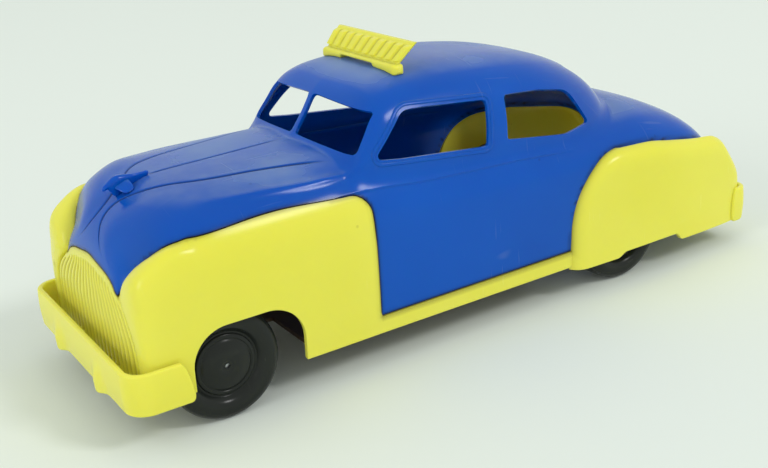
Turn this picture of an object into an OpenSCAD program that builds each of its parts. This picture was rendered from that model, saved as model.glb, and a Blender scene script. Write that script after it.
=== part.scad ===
// Toy taxi: a two-colour moulded push toy on two steel axles.
// +X is the front, +Y the car's left side, +Z up; the wheels stand on z = 0.

/* [Body] */
// Overall length over both bumpers
body_length = 250; // [236:1:270]
// Width of the lower body across the doors and front fenders
body_width = 84; // [80:0.5:92]
// Height of the roof at its crown
roof_height = 88.4; // [84:0.2:96]
// Height of the hood at the foot of the windscreen
cowl_height = 68.6; // [67:0.2:72]
// Height of the hood above the front axle
hood_height = 67.4; // [64:0.2:69]
// Height of the trunk deck behind the cabin
deck_height = 61; // [58:0.2:64]
// Height of the underside of the sills
sill_bottom = 11.8; // [9:0.1:14]
// Height of the joint between sill and door
sill_top = 17.6; // [16:0.1:22]
// Thickness of the moulded walls
wall = 2; // [1.4:0.1:2.6]
// Gap along the joint between the two mouldings
seam_gap = 0.2; // [0.1:0.05:0.4]

/* [Cabin] */
// Width of the cabin above the belt line
cabin_width = 75; // [70:0.5:78]
// Foot of the windscreen at its centre post
windscreen_x = 43.6; // [40:0.2:48]
// Distance from the rear end to the foot of the rear window
trunk_length = 49; // [43:0.5:53]
// How far the windscreen corners sit behind its centre post
windscreen_sweep = 5.6; // [3:0.1:8]
// Width of the windscreen's centre post
post_width = 3.6; // [2.4:0.1:5]
// Height of the front door window's sill at its front corner
window_sill = 65.6; // [62:0.1:68]
// Height of the top edge of the front door window
window_top = 79.6; // [76:0.1:82]
// Middle of the pillar between the side windows
pillar_x = -11.2; // [-14:0.1:-8]
// Width of the pillar between the side windows
pillar_width = 7.6; // [5:0.1:10]

/* [Fenders] */
// Place of the joint between front fender and door
door_seam_x = 40.5; // [38:0.1:42]
// Height of the joint between hood and front fender
hood_seam = 58; // [56:0.1:60]
// Half the width between the tips of the hood's two fangs
fang_y = 22.2; // [21:0.1:22.8]
// Height of the fang tips
fang_z = 41; // [38:0.1:44]
// Height of the grille's top edge at the middle
grille_top = 47.4; // [46.6:0.1:50]
// How far the rear fender reaches ahead of the rear axle
fender_lead = 26; // [22:0.1:28]
// Height of the rear fender's top edge above the rear axle
rear_fender_top = 50; // [47:0.1:52]
// Width over the two rear fenders
rear_fender_width = 89; // [87:0.5:94]
// Underside of the rear fenders
rear_skirt = 9.6; // [8:0.1:11]
// Height of the front wheel opening
arch_height = 31.7; // [29:0.1:34]

/* [Running gear] */
// Distance from the front end to the front axle
front_overhang = 32.4; // [31:0.2:35]
// Distance from the rear end to the rear axle
rear_overhang = 61.2; // [58:0.2:65]
// Diameter of the wheels
wheel_d = 35; // [32:0.2:37]
// Width of a wheel's tread
wheel_width = 11; // [9:0.1:12]
// Distance over the outer faces of a pair of wheels
track_outer = 79.6; // [77:0.2:80]
// Diameter of the hub disc
hub_d = 19.2; // [15:0.2:22]
// Diameter of the axle rods
axle_d = 3.2; // [2.4:0.1:4]
// Play of an axle in its bearing holes, on the diameter
axle_play = 0.12; // [0.04:0.02:0.2]
// Thickness of the floor pan
pan_t = 1.4; // [1:0.1:2]
// Thickness of the bearing ears
ear_t = 2; // [1.4:0.1:3]
// Side play between a wheel's boss and the bearing ear
wheel_play = 0.4; // [0.3:0.05:0.8]

/* [Bumpers] */
// Thickness of the bumper blades
bumper_t = 1.8; // [1.4:0.1:2.6]
// Top edge of the front bumper
front_bumper_top = 26.9; // [24:0.1:29]
// Bottom edge of the front bumper
front_bumper_bottom = 10.6; // [9:0.1:13]
// Top edge of the rear bumper
rear_bumper_top = 21.8; // [19:0.1:24]
// Bottom edge of the rear bumper
rear_bumper_bottom = 8.6; // [7:0.1:10]
// Clear distance between the front bumper and the grille
bumper_standoff = 4; // [3:0.1:6]
// How far the front bumper's ends reach back from its face
front_bumper_reach = 16.7; // [13:0.1:18]
// How far the rear bumper's ends reach forward from its face
rear_bumper_reach = 12; // [10.5:0.1:16]
// Radius of the bumpers' corners in plan
bumper_corner_r = 9; // [7:0.1:10]

/* [Roof sign] */
// Length of the sign's foot
sign_length = 45.5; // [42:0.5:52]
// Depth of the sign's foot, front to back
sign_depth = 4.4; // [3.6:0.2:7]
// Front edge of the sign's foot
sign_x = 18.2; // [12:0.2:22]
// Height of the sign's top edge above the roof
sign_height = 8; // [6:0.1:11]
// How far the panel's top leans back
sign_lean = 6; // [3:0.1:8]
// Thickness of the sign's panel
sign_t = 2.6; // [2.2:0.1:3.4]
// Number of raised bars across the sign's face
sign_bars = 9; // [5:1:15]

/* [Hood ornament] */
// Length of the hood ornament
ornament_length = 15; // [12:0.2:18]
// Span of the ornament's wings
ornament_span = 12; // [9:0.2:17]
// Distance of the ornament's middle behind the grille
ornament_setback = 16.5; // [14:0.2:20]

/* [Hidden] */
$fn = 48;

half_w = body_width / 2;
guard_out = 1.3;
rear_standoff = 1.4;
blade_x = body_length / 2 - guard_out;
nose_x = blade_x - bumper_t - bumper_standoff;
tail_x = -body_length / 2 + bumper_t + rear_standoff;
front_axle_x = body_length / 2 - front_overhang;
rear_axle_x = -body_length / 2 + rear_overhang;
wheelbase = front_axle_x - rear_axle_x;
rear_fender_x = rear_axle_x + fender_lead;
backlight_x = -body_length / 2 + trunk_length;
cabin_length = windscreen_x - backlight_x;
hood_length = nose_x - windscreen_x;
ornament_x = nose_x - ornament_setback;
axle_z = wheel_d / 2;
wheel_in = track_outer / 2 - wheel_width;
ear_out = wheel_in - 2;
pan_z = sill_bottom + 1.2;
pan_half = half_w - wall - 1.8;
pan_rear = rear_fender_x + 1.8;
pan_front = front_axle_x - 28.6;
guard_y = 16;
lap = 1.6;
grille_ribs = 29;
rib_pitch = 1.4;
belt_rise = cowl_height - deck_height;
hood_fall = cowl_height - hood_height;
far = 200;

// Smooth monotone curve through knots [place, value] in rising order of place.
function slope(k, i) = (k[i + 1][1] - k[i][1]) / (k[i + 1][0] - k[i][0]);
function tangent(k, i) =
    i == 0 ? slope(k, 0) :
    i == len(k) - 1 ? slope(k, i - 1) :
    let (a = slope(k, i - 1), b = slope(k, i), h = k[i][0] - k[i - 1][0], g = k[i + 1][0] - k[i][0])
    a * b <= 0 ? 0 : 3 * (h + g) / ((2 * g + h) / a + (g + 2 * h) / b);
function span(k, x, i = 0) = i >= len(k) - 2 || x < k[i + 1][0] ? i : span(k, x, i + 1);
function curve(k, place) =
    let (x = min(max(place, k[0][0]), k[len(k) - 1][0]), i = span(k, x),
         h = k[i + 1][0] - k[i][0], t = (x - k[i][0]) / h)
    (1 + 2 * t) * (1 - t) ^ 2 * k[i][1] + t * (1 - t) ^ 2 * h * tangent(k, i)
    + t ^ 2 * (3 - 2 * t) * k[i + 1][1] + t ^ 2 * (t - 1) * h * tangent(k, i + 1);

// Lower body: height of the section centre, crown height, half width and squareness along the car.
section_z = [[tail_x, 18], [tail_x + 4, 27], [tail_x + 9, 34], [tail_x + 17, 38], [tail_x + 26, 40],
             [nose_x - 3, 40], [nose_x - 0.8, 35], [nose_x, 30]];
low_z = [[tail_x, deck_height - 39], [tail_x + 1.5, deck_height - 30], [tail_x + 4, deck_height - 22.5],
         [tail_x + 8, deck_height - 17.5], [tail_x + 14, deck_height - 11.8], [tail_x + 22, deck_height - 7],
         [tail_x + 33, deck_height - 2.6], [backlight_x, deck_height], [-40, deck_height + 0.05 * belt_rise],
         [-10, deck_height + 0.27 * belt_rise], [20, deck_height + 0.6 * belt_rise],
         [windscreen_x, cowl_height], [windscreen_x + 0.27 * hood_length, cowl_height - 0.35 * hood_fall],
         [windscreen_x + 0.46 * hood_length, cowl_height - 0.62 * hood_fall], [nose_x - 25, hood_height],
         [nose_x - 15, hood_height - 3.5], [nose_x - 9.5, hood_height - 7],
         [nose_x - 5.8, hood_height - 10.7], [nose_x - 3.4, hood_height - 15],
         [nose_x - 1.9, hood_height - 19.6],
         [nose_x - 0.8, hood_height - 25.6], [nose_x, hood_height - 34.8]];
low_y = [[tail_x, half_w - 14], [tail_x + 3, half_w - 10], [tail_x + 9, half_w - 7.5],
         [tail_x + 21, half_w - 3.2], [-70, half_w - 1], [0, half_w - 0.5], [40, half_w - 0.4],
         [58, half_w], [nose_x - 14, half_w],
         [nose_x - 12, half_w - 1.2], [nose_x - 10, half_w - 4], [nose_x - 8, half_w - 9.4],
         [nose_x - 6, half_w - 15], [nose_x - 4, half_w - 17.1], [nose_x - 2.4, half_w - 18.2],
         [nose_x - 1, half_w - 19], [nose_x - 0.4, half_w - 20.5], [nose_x - 0.15, half_w - 24], [nose_x, 1]];
low_n = [[tail_x, 2.6], [tail_x + 27, 2.6], [-60, 2.8], [0, 3], [60, 3.2], [nose_x - 28, 3.3],
         [nose_x - 14, 2.9], [nose_x - 10, 2.4], [nose_x - 6, 2.2], [nose_x, 2.2]];
// Front fender crests beside the hood: inner, crest and outer distances from the middle, then heights.
pod_in = [[nose_x - 33, half_w - 12], [nose_x - 14, half_w - 13.5], [nose_x - 10, half_w - 15.5],
          [nose_x - 6, half_w - 19.5], [nose_x - 2.4, half_w - 19.6], [nose_x - 1, half_w - 19],
          [nose_x - 0.4, half_w - 17.5], [nose_x - 0.15, half_w - 15], [nose_x, half_w - 12.5]];
pod_mid = [[nose_x - 33, half_w - 5], [nose_x - 14, half_w - 5], [nose_x - 6, half_w - 6],
           [nose_x - 3, half_w - 6.5], [nose_x - 1, half_w - 8], [nose_x - 0.4, half_w - 10],
           [nose_x, half_w - 12]];
pod_out = [[nose_x - 33, half_w - 0.1], [nose_x - 14, half_w], [nose_x - 7, half_w - 0.4],
           [nose_x - 4, half_w - 1.2], [nose_x - 2, half_w - 2.4], [nose_x - 0.9, half_w - 4],
           [nose_x - 0.4, half_w - 6],
           [nose_x - 0.15, half_w - 8.5], [nose_x, half_w - 11]];
pod_top = [[nose_x - 33, hood_seam - 8], [nose_x - 23, hood_seam - 2.4], [nose_x - 17, hood_seam - 0.7],
           [nose_x - 14, hood_seam - 0.7], [nose_x - 10, hood_seam - 1.9], [nose_x - 6.7, hood_seam - 3.4],
           [nose_x - 2.9, hood_seam - 5.8], [nose_x - 1.2, hood_seam - 8.2], [nose_x - 0.4, hood_seam - 12],
           [nose_x - 0.15, hood_seam - 17], [nose_x, hood_seam - 23]];
pod_base = [[nose_x - 33, 40], [nose_x - 3, 40], [nose_x - 0.4, 34], [nose_x, 28]];
// Cabin: roof height, half width and squareness.
cab_z = [[backlight_x - 8, deck_height - 19], [backlight_x - 4, deck_height - 9],
         [backlight_x, deck_height - 1], [backlight_x + 5, roof_height - 21.6],
         [backlight_x + 12, roof_height - 15.1],
         [backlight_x + 21, roof_height - 10], [backlight_x + 32, roof_height - 6],
         [backlight_x + 0.385 * cabin_length, roof_height - 2.8],
         [backlight_x + 0.52 * cabin_length, roof_height - 0.9],
         [backlight_x + 0.65 * cabin_length, roof_height],
         [windscreen_x - 29.6, roof_height - 0.1], [windscreen_x - 19.6, roof_height - 1],
         [windscreen_x - 12.6, roof_height - 3.2], [windscreen_x - 8.4, roof_height - 6.4],
         [windscreen_x - 4.2, cowl_height + 7.2], [windscreen_x, cowl_height + 1.6],
         [windscreen_x + 4.4, cowl_height - 6.6], [windscreen_x + 10.4, cowl_height - 20.6]];
cab_half = cabin_width / 2;
cab_y = [[backlight_x - 8, cab_half - 23.5], [backlight_x - 2, cab_half - 15.5],
         [backlight_x + 6, cab_half - 9.5], [backlight_x + 16, cab_half - 4.5],
         [backlight_x + 28, cab_half - 2], [backlight_x + 0.35 * cabin_length, cab_half - 0.5],
         [backlight_x + 0.55 * cabin_length, cab_half], [windscreen_x - 19.6, cab_half],
         [windscreen_x, cab_half - 0.9], [windscreen_x + 10.4, cab_half - 2.5]];
cab_n = [[backlight_x - 8, 2.4], [backlight_x + 16, 2.8], [backlight_x + 0.3 * cabin_length, 3.4],
         [backlight_x + 0.635 * cabin_length, 4.1], [windscreen_x - 19.6, 4.4], [windscreen_x - 8, 5.6],
         [windscreen_x, 9], [windscreen_x + 10.4, 9]];
// Sweep of the windscreen in plan, as a share of windscreen_sweep.
sweep = [[windscreen_x - 33.6, 0], [windscreen_x - 19.6, 0.21], [windscreen_x - 8.4, 0.72],
         [windscreen_x, 1], [windscreen_x + 6.4, 0.82],
         [windscreen_x + 26.4, 0.18], [windscreen_x + 40.4, 0]];
sweep_y = 29;
belt_blend = 3;
sill_tuck = 0.9;

function superellipse(a, half, rise, n) =
    ((abs(cos(a)) / half) ^ n + (abs(sin(a)) / rise) ^ n) ^ (-1 / n);
function smooth_max(a, b, k) =
    let (h = min(max(0.5 + (a - b) / (2 * k), 0), 1)) b + (a - b) * h + k * h * (1 - h);
// Radius of the body section at station s and angle a up from the side.
function section_r(s, a) =
    let (zc = curve(section_z, s),
         low = superellipse(a, curve(low_y, s), curve(low_z, s) - zc, curve(low_n, s)),
         in_cabin = s > cab_z[0][0] && s < cab_z[len(cab_z) - 1][0])
    in_cabin ? smooth_max(superellipse(a, curve(cab_y, s), max(curve(cab_z, s) - zc, 1), curve(cab_n, s)),
                          low, belt_blend) : low;
// Height of the body's top surface over a point, from the squareness formula of its own section.
function roof_z(x, y) =
    let (zc = curve(section_z, x), n = curve(cab_n, x))
    zc + (curve(cab_z, x) - zc) * (1 - (abs(y) / curve(cab_y, x)) ^ n) ^ (1 / n);
function hood_z(x) = curve(low_z, x);

// Section angles and the steps of the side wall below them.
angles = [for (a = [0, 7, 14, 20, 25, 30, 36, 43, 50, 57, 64, 72, 81, 90]) a];
wall_steps = [1, 0.5];
// One section at station s, from the left sill over the top to the right sill, grown outward by g.
function half_section(s, g, drop) =
    let (c = curve(section_z, s), w = curve(low_y, s))
    concat([for (u = wall_steps)
               [w - sill_tuck * u ^ 2 + g, c - (c - sill_bottom) * u - (u == 1 ? drop : 0)]],
           [for (a = angles) let (r = section_r(s, a) + g) [r * cos(a), c + r * sin(a)]]);
function placed(s, x, p) = [x - windscreen_sweep * curve(sweep, s) * abs(p[0]) / sweep_y, p[0], p[1]];
function ring(s, x, g, drop) =
    let (h = half_section(s, g, drop), n = len(h))
    concat([for (p = h) placed(s, x, p)], [for (i = [n - 2 : -1 : 0]) placed(s, x, [-h[i][0], h[i][1]])]);

stations = concat([for (d = [0, 0.8, 2, 4, 7, 11, 16, 23, 31]) tail_x + d],
                  [for (d = [-8, -4, 0, 4, 9, 15, 22, 30]) backlight_x + d],
                  [for (t = [0.33, 0.41, 0.52, 0.635, 0.72]) backlight_x + t * cabin_length],
                  [for (d = [-25, -19, -14, -11, -8.4, -6, -4, -2, 0, 2, 4.5, 8, 13]) windscreen_x + d],
                  [for (t = [0.27, 0.38, 0.49, 0.62]) windscreen_x + t * hood_length],
                  [for (d = [-20, -14, -10, -7, -4.5, -2.8, -1.5, -0.8, -0.35, -0.12, 0]) nose_x + d]);

// One section of the left front fender crest, from its outer sill over the crest to its inner sill.
pod_angles = [0, 12, 24, 36, 48, 62, 76, 90, 104, 118, 132, 144, 156, 168, 180];
function pod_ring(s, x, g, drop) =
    let (inner = curve(pod_in, s) - g, mid = curve(pod_mid, s), outer = curve(pod_out, s) + g,
         base = curve(pod_base, s), top = curve(pod_top, s) + g)
    concat([for (u = wall_steps)
               [x, outer - sill_tuck * u ^ 2, base - (base - sill_bottom) * u - (u == 1 ? drop : 0)]],
           [for (a = pod_angles)
               let (c = abs(cos(a)) ^ (a < 90 ? 0.84 : 1), up = abs(sin(a)) ^ (a < 90 ? 0.84 : 1))
               [x, a < 90 ? mid + (outer - mid) * c : mid - (mid - inner) * c, base + (top - base) * up]],
           [[x, inner, sill_bottom - drop]]);
pod_steps = [33, 28, 23, 19, 16, 13, 10, 7.5, 5.2, 3.5, 2.2, 1.2, 0.6, 0.3, 0.1, 0];
pod_stations = [for (d = pod_steps) nose_x - d];

// Solid through a row of closed sections.
module loft(rings) {
    n = len(rings[0]);
    m = len(rings);
    polyhedron(
        points = [for (r = rings) each r],
        faces = concat(
            [for (i = [0 : m - 2], j = [0 : n - 1]) let (a = i * n + j, b = i * n + (j + 1) % n) each
                [[a, a + n, b + n], [a, b + n, b]]],
            [[for (j = [0 : n - 1]) j], [for (j = [n - 1 : -1 : 0]) (m - 1) * n + j]]));
}
module both_sides() {
    children();
    mirror([0, 1, 0]) children();
}
// The two front fender crests.
module crests(g, end_in, drop) {
    both_sides() loft([for (s = pod_stations)
        pod_ring(s, s - end_in * min(max((s - nose_x + 33) / 16.5 - 1, -1), 1), g, drop)]);
}
// Closed solid between the body skin grown by g and its base plane; end_in draws the two ends inward.
module body_form(g = 0, end_in = 0, drop = 0) {
    middle = (nose_x + tail_x) / 2;
    reach = (nose_x - tail_x) / 2;
    loft([for (s = stations) ring(s, s - end_in * min(max((s - middle) / (0.3 * reach), -1), 1), g, drop)]);
    crests(g, end_in, drop);
}

// Hollow skin of the whole car.
module body_skin() {
    difference() {
        body_form();
        body_form(-wall, wall, wall);
    }
}

// Joint lines between the two mouldings.
seam_corner_r = 6.2;
// Side view of the front fenders' region, moved outward by g.
function seam_side(g) =
    let (x = door_seam_x - g, z = hood_seam + g, r = seam_corner_r)
    concat([[far, -far], [far, z]],
           [for (a = [90 : 15 : 180]) [x + r + r * cos(a), z - r + r * sin(a)]],
           [[x, -far]]);
// Front view of the joint: grille arch between the two fangs, then up the valley beside the fender crest.
fang_line = [[0, grille_top], [fang_y - 14.8, grille_top - 0.8], [fang_y - 9.6, grille_top - 1.6],
             [fang_y - 5, fang_z + 3.4], [fang_y - 2.8, fang_z + 2.1], [fang_y - 1.2, fang_z + 0.6],
             [fang_y, fang_z], [fang_y + 0.7, fang_z + 1], [fang_y + 1.3, fang_z + 3],
             [fang_y + 1.8, fang_z + 4.9],
             [fang_y + 2.6, fang_z + 6.6], [fang_y + 4.6, fang_z + 8.5], [fang_y + 6.6, fang_z + 10.4],
             [fang_y + 9, fang_z + 12.8], [fang_y + 11.1, fang_z + 14.5], [fang_y + 13.1, hood_seam - 0.8],
             [half_w - 5.6, hood_seam - 0.1]];
fang_steps = [0, 3, 6, 9, 11.5, 14, 16, 17.5, 19, 20, 20.9, 21.6, 22.2, 22.5, 22.8, 23.1, 23.4, 23.8, 24.2,
              24.6, 25.5, 26.5, 27.7, 29, 30.5, 32, 33.5, 35, half_w - 5.6];
function seam_front(g) =
    let (last = len(fang_steps) - 1)
    concat([[far, -far], [far, far], [half_w - 5.6, far]],
           [for (i = [last : -1 : 0]) [fang_steps[i], curve(fang_line, fang_steps[i]) + g]],
           [for (i = [1 : last]) [-fang_steps[i], curve(fang_line, fang_steps[i]) + g]],
           [[-half_w + 5.6, far], [-far, far], [-far, -far]]);
module along_y(length) rotate([90, 0, 0]) linear_extrude(length, center = true) children();
module along_x(length) rotate([90, 0, 90]) linear_extrude(length, center = true) children();
module below(z) translate([0, 0, z - far]) cube([2 * far, 2 * far, 2 * far], center = true);
module between_x(a, b) translate([(a + b) / 2, 0, 0]) cube([b - a, 2 * far, 2 * far], center = true);

// Region of the front fenders, grille and nose.
module front_region(g = 0) {
    intersection() {
        along_y(2 * far) polygon(seam_side(g));
        along_x(2 * far) polygon(seam_front(g));
    }
    intersection() {
        crests(g + 0.05, -0.05, 1);
        between_x(nose_x - 14, far);
    }
}

// Rear fender: side outline, then a pad that rises from the body side to its full width.
fender_rise = rear_fender_top - 24;
fender_run = -23.2;
fender_crest_x = rear_fender_x + fender_run;
fender_end_x = tail_x - 0.8;
fender_top = [[tail_x, 24], [tail_x + 3, 29.2], [tail_x + 6, 34.2], [tail_x + 9, 39], [tail_x + 10.5, 41],
              [tail_x + 13, 42.8], [tail_x + 24, rear_fender_top - 4.2], [tail_x + 37, rear_fender_top - 2],
              [tail_x + 47, rear_fender_top - 0.7], [fender_crest_x, rear_fender_top]];
function fender_edge_z(x) =
    x > fender_crest_x ? 24 + fender_rise * sqrt(max(1 - ((x - fender_crest_x) / fender_run) ^ 2, 0))
                       : curve(fender_top, x);
fender_half = rear_fender_width / 2;
fender_y = [[tail_x - 1, fender_half - 9], [tail_x + 2, fender_half - 5.5], [tail_x + 7, fender_half - 2.6],
            [tail_x + 14, fender_half - 1], [tail_x + 26, fender_half - 0.2], [rear_axle_x, fender_half],
            [rear_fender_x, fender_half - 0.6]];
fender_inside_y = 30;
fender_root_y = fender_inside_y + 6;
fender_round = 7;
fender_rows = [0, 0.35, 0.6, 0.76, 0.87, 0.94, 0.98, 1];
fender_length = rear_fender_x - tail_x;
fender_front_steps = [0, 0.35, 1, 2, 3.6, 6, 9.5, 14, 19];
fender_tail_steps = [60, 53, 45, 37, 30, 24, 19, 15, 12, 10, 8, 6, 4, 2, 0];
// Columns of the fender from its front edge to the tail, both ends drawn in by g.
function fender_places(g) =
    concat([for (d = fender_front_steps) rear_fender_x - d - g * (1 - 2 * d / fender_length)],
           [for (d = fender_tail_steps) tail_x + d + g * (1 - 2 * d / fender_length)]);
// Rounded rise from the fender's edge: 0 at the edge, 1 at fender_round inward.
function round_in(d) = (1 - (1 - min(max(d / fender_round, 0), 1)) ^ 2.4) ^ (1 / 2.4);
// Outer face of the left rear fender drawn in by g: columns along x, rows from skirt to edge.
function fender_column(x, g) =
    let (top = fender_edge_z(x) - g, low = rear_skirt - (g > 0 ? 2 : 1))
    [for (q = fender_rows)
        let (z = low + (top - low) * q,
             fall = z < 24 ? 0 : 1 - sqrt(max(1 - ((z - 24) / fender_rise) ^ 2, 0)),
             from_front = rear_fender_x - x + fender_run * fall,
             d = min(top + g - z, from_front))
        [x, fender_root_y + (curve(fender_y, x) - g - fender_root_y) * (0.25 + 0.75 * round_in(d)), z]];
module fender_block(g = 0) {
    cols = [for (x = fender_places(g)) fender_column(max(x, fender_end_x), g)];
    n = len(fender_rows);
    m = len(cols);
    deep = fender_inside_y - (g > 0 ? 1 : 0);
    inner = [for (c = cols) each [[c[0][0], deep, c[0][2]], [c[0][0], deep, c[n - 1][2]]]];
    k = n * m;
    polyhedron(
        points = concat([for (c = cols) each c], inner),
        faces = concat(
            [for (i = [0 : m - 2], j = [0 : n - 2]) each
                [[i * n + j, (i + 1) * n + j + 1, (i + 1) * n + j],
                 [i * n + j, i * n + j + 1, (i + 1) * n + j + 1]]],
            [for (i = [0 : m - 2]) each
                [[i * n, k + 2 * i + 2, k + 2 * i], [i * n, (i + 1) * n, k + 2 * i + 2],
                 [k + 2 * i, k + 2 * i + 3, k + 2 * i + 1], [k + 2 * i, k + 2 * i + 2, k + 2 * i + 3],
                 [k + 2 * i + 1, (i + 1) * n + n - 1, i * n + n - 1],
                 [k + 2 * i + 1, k + 2 * i + 3, (i + 1) * n + n - 1]]],
            [concat([k, k + 1], [for (j = [n - 1 : -1 : 0]) j]),
             concat([for (j = [0 : n - 1]) (m - 1) * n + j], [k + 2 * m - 1, k + 2 * m - 2])]));
}

// Side outline of the rear fender drawn in by g, open downward.
function fender_outline(g) =
    let (xs = fender_places(g), last = len(xs) - 1)
    concat([[xs[0], -far]], [for (x = xs) [x, fender_edge_z(x) - g]], [[xs[last], -far]]);
module fender_opening() {
    translate([0, far + fender_inside_y - 1, 0]) along_y(2 * far) polygon(fender_outline(lap));
}
// Shell of the left rear fender; it laps over the body side above the sill.
module rear_fender() {
    difference() {
        fender_block();
        fender_block(wall);
        intersection() {
            body_form(seam_gap);
            translate([0, 0, sill_top + far]) cube(2 * far, center = true);
        }
    }
}
// Underside of everything behind the doors: the skirts with a lifted stretch at the wheel.
module skirt_cut() {
    along_y(2 * far) polygon([[rear_fender_x + 1, rear_skirt + 1.2], [rear_axle_x + 6, rear_skirt + 1.2],
                              [rear_axle_x + 3.2, rear_skirt + 2.9], [rear_axle_x - 22.8, rear_skirt + 2.9],
                              [rear_axle_x - 25.2, rear_skirt], [-far, rear_skirt - 0.4], [-far, -far],
                              [rear_fender_x + 1, -far]]);
}
// Opening for the left front wheel, with the room its tyre needs inside the fender.
module front_arch() {
    hull() {
        for (p = [[front_axle_x - 0.2, 11.2], [front_axle_x - 13.2, 12.1]], d = [0, 30]) {
            translate([p[0], 25, arch_height - p[1] - d]) rotate([-90, 0, 0]) cylinder(r = p[1], h = far);
        }
    }
}
module wheel_room() {
    translate([front_axle_x, wheel_in - 1, axle_z]) rotate([-90, 0, 0])
        cylinder(d = wheel_d + 2, h = wheel_width + 1.4);
}
// Upright rib on the left half of the grille.
module grille_rib(y) {
    top = curve(fang_line, abs(y)) - 1.4;
    translate([nose_x - 1.6, y - 0.3, 24]) cube([1.7, 0.6, top - 24]);
}
// Ledge inside the left sill that the floor pan is stuck to from below.
module sill_ledge() {
    hull() {
        translate([pan_rear + 2, pan_half - 2.6, pan_z + pan_t]) cube([pan_front - pan_rear - 4, 3.4, 1.2]);
        translate([pan_rear, pan_half - 1.2, pan_z + pan_t]) cube([pan_front - pan_rear, 2, 1.2]);
    }
}
// Web that ties the left rear fender to the tail apron.
module tail_web() {
    web_x = tail_x + 18;
    reach = curve(fender_y, web_x) - wall / 2 - (half_w - 6.6);
    hull() {
        translate([web_x, half_w - 6.6, sill_bottom]) cube([1.6, reach, 4]);
        translate([web_x, half_w - 6.6, sill_bottom]) cube([1.6, 3, 5]);
    }
}
// Seat behind the left front bumper bracket.
module nose_seat() {
    hull() {
        translate([nose_x - 3.4, guard_y - 3, sill_bottom + 0.4]) cube([2.4, 6, 8]);
        translate([nose_x - 3.4, guard_y - 2, sill_bottom + 0.4]) cube([2.4, 4, 9]);
    }
}

// Yellow lower moulding: front fenders with the grille, sills, rear fenders and tail apron.
module lower_body() {
    color([0.9, 0.88, 0.3]) difference() {
        union() {
            intersection() {
                body_skin();
                front_region();
            }
            intersection() {
                body_skin();
                below(sill_top);
                union() {
                    between_x(rear_fender_x - 5.7, door_seam_x + 1);
                    between_x(-far, rear_axle_x - 20.8);
                }
            }
            both_sides() rear_fender();
            both_sides() sill_ledge();
            both_sides() tail_web();
            both_sides() nose_seat();
            for (i = [0 : grille_ribs - 1]) grille_rib(rib_pitch * (i - (grille_ribs - 1) / 2));
        }
        both_sides() front_arch();
        both_sides() wheel_room();
        skirt_cut();
    }
}

// Window openings: corner circles [along, up, radius] drawn together and pushed through the wall.
module pane(corners, length) {
    hull() {
        for (c = corners) translate([c[0], c[1], 0]) cylinder(r = c[2], h = length);
    }
}
module side_windows() {
    front_edge = pillar_x + pillar_width / 2;
    rear_edge = pillar_x - pillar_width / 2;
    translate([0, far, 0]) rotate([90, 0, 0]) {
        pane([[windscreen_x - 11, window_sill + 1.6, 1.4], [front_edge + 1.2, window_sill - 2.5, 1.2],
              [front_edge + 1.2, window_top - 3.5, 1.2], [windscreen_x - 19.6, window_top - 3.8, 3.6]],
             far - 24);
        pane([[rear_edge - 1, window_sill - 3.3, 1], [rear_edge - 1, window_top - 4.1, 1],
              [backlight_x + 31.9, window_top - 12.4, 6.8], [backlight_x + 22.4, window_sill - 5.9, 1]],
             far - 24);
    }
}
module end_windows() {
    near = post_width / 2 + 1.2;
    top = roof_height - 8.8;
    translate([24, 0, 0]) rotate([90, 0, 90])
        pane([[near, cowl_height + 3.2, 1.2], [30, cowl_height + 1.1, 1.2], [28.4, top - 1.8, 1.2],
              [near, top, 1.2]], 36);
    translate([backlight_x - 14, 0, 0]) rotate([90, 0, 90])
        pane([[near, deck_height + 6.7, 1.2], [18.6, deck_height + 6.9, 1.2], [16.6, roof_height - 14, 1.6],
              [near, roof_height - 13.6, 1.2]], 40);
}
// Blue upper moulding: hood, doors, cabin and tail.
module upper_body() {
    color([0.1, 0.33, 0.72]) difference() {
        body_skin();
        front_region(seam_gap);
        below(sill_top + seam_gap);
        both_sides() fender_opening();
        both_sides() side_windows();
        both_sides() end_windows();
    }
}

// Roof sign: a bridge-like foot across the roof and a ribbed panel that leans back.
sign_half = sign_length / 2;
sign_back = sign_x - sign_depth;
foot_top = roof_height + 1.9;
foot_gap = 10;
sign_margin = 2.4;
sign_flare = 2;
sign_top = roof_height + sign_height;
function under_sign(y) =
    max(roof_z(sign_x, y), roof_z(sign_back, y)) + (abs(y) < foot_gap ? 0.9 : 0.15);
module sign_foot() {
    pad = sign_half - foot_gap;
    half_steps = concat([0, foot_gap / 3, foot_gap * 2 / 3, foot_gap - 0.01, foot_gap + 0.01],
                        [for (t = [0.23, 0.46, 0.65, 0.81, 0.92, 1]) foot_gap + pad * t]);
    steps = concat([for (i = [10 : -1 : 1]) -half_steps[i]], half_steps);
    translate([(sign_x + sign_back) / 2, 0, 0]) along_x(sign_depth)
        polygon(concat([for (y = steps) [y, under_sign(y)]],
                       [[sign_half, foot_top - 2.6], [sign_half - 1.2, foot_top - 0.9],
                        [sign_half - 3.4, foot_top], [-sign_half + 3.4, foot_top],
                        [-sign_half + 1.2, foot_top - 0.9], [-sign_half, foot_top - 2.6]]));
}
module sign_panel(front, thick, half_low, half_high) {
    intersection() {
        along_y(2 * far) polygon([[front, foot_top - 0.6], [front - sign_lean, sign_top],
                                  [front - sign_lean - thick, sign_top], [front - thick, foot_top - 0.6]]);
        along_x(2 * far) polygon([[half_low, 0], [half_low, foot_top], [half_high, sign_top],
                                  [half_high, far], [-half_high, far], [-half_high, sign_top],
                                  [-half_low, foot_top], [-half_low, 0]]);
    }
}
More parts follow.
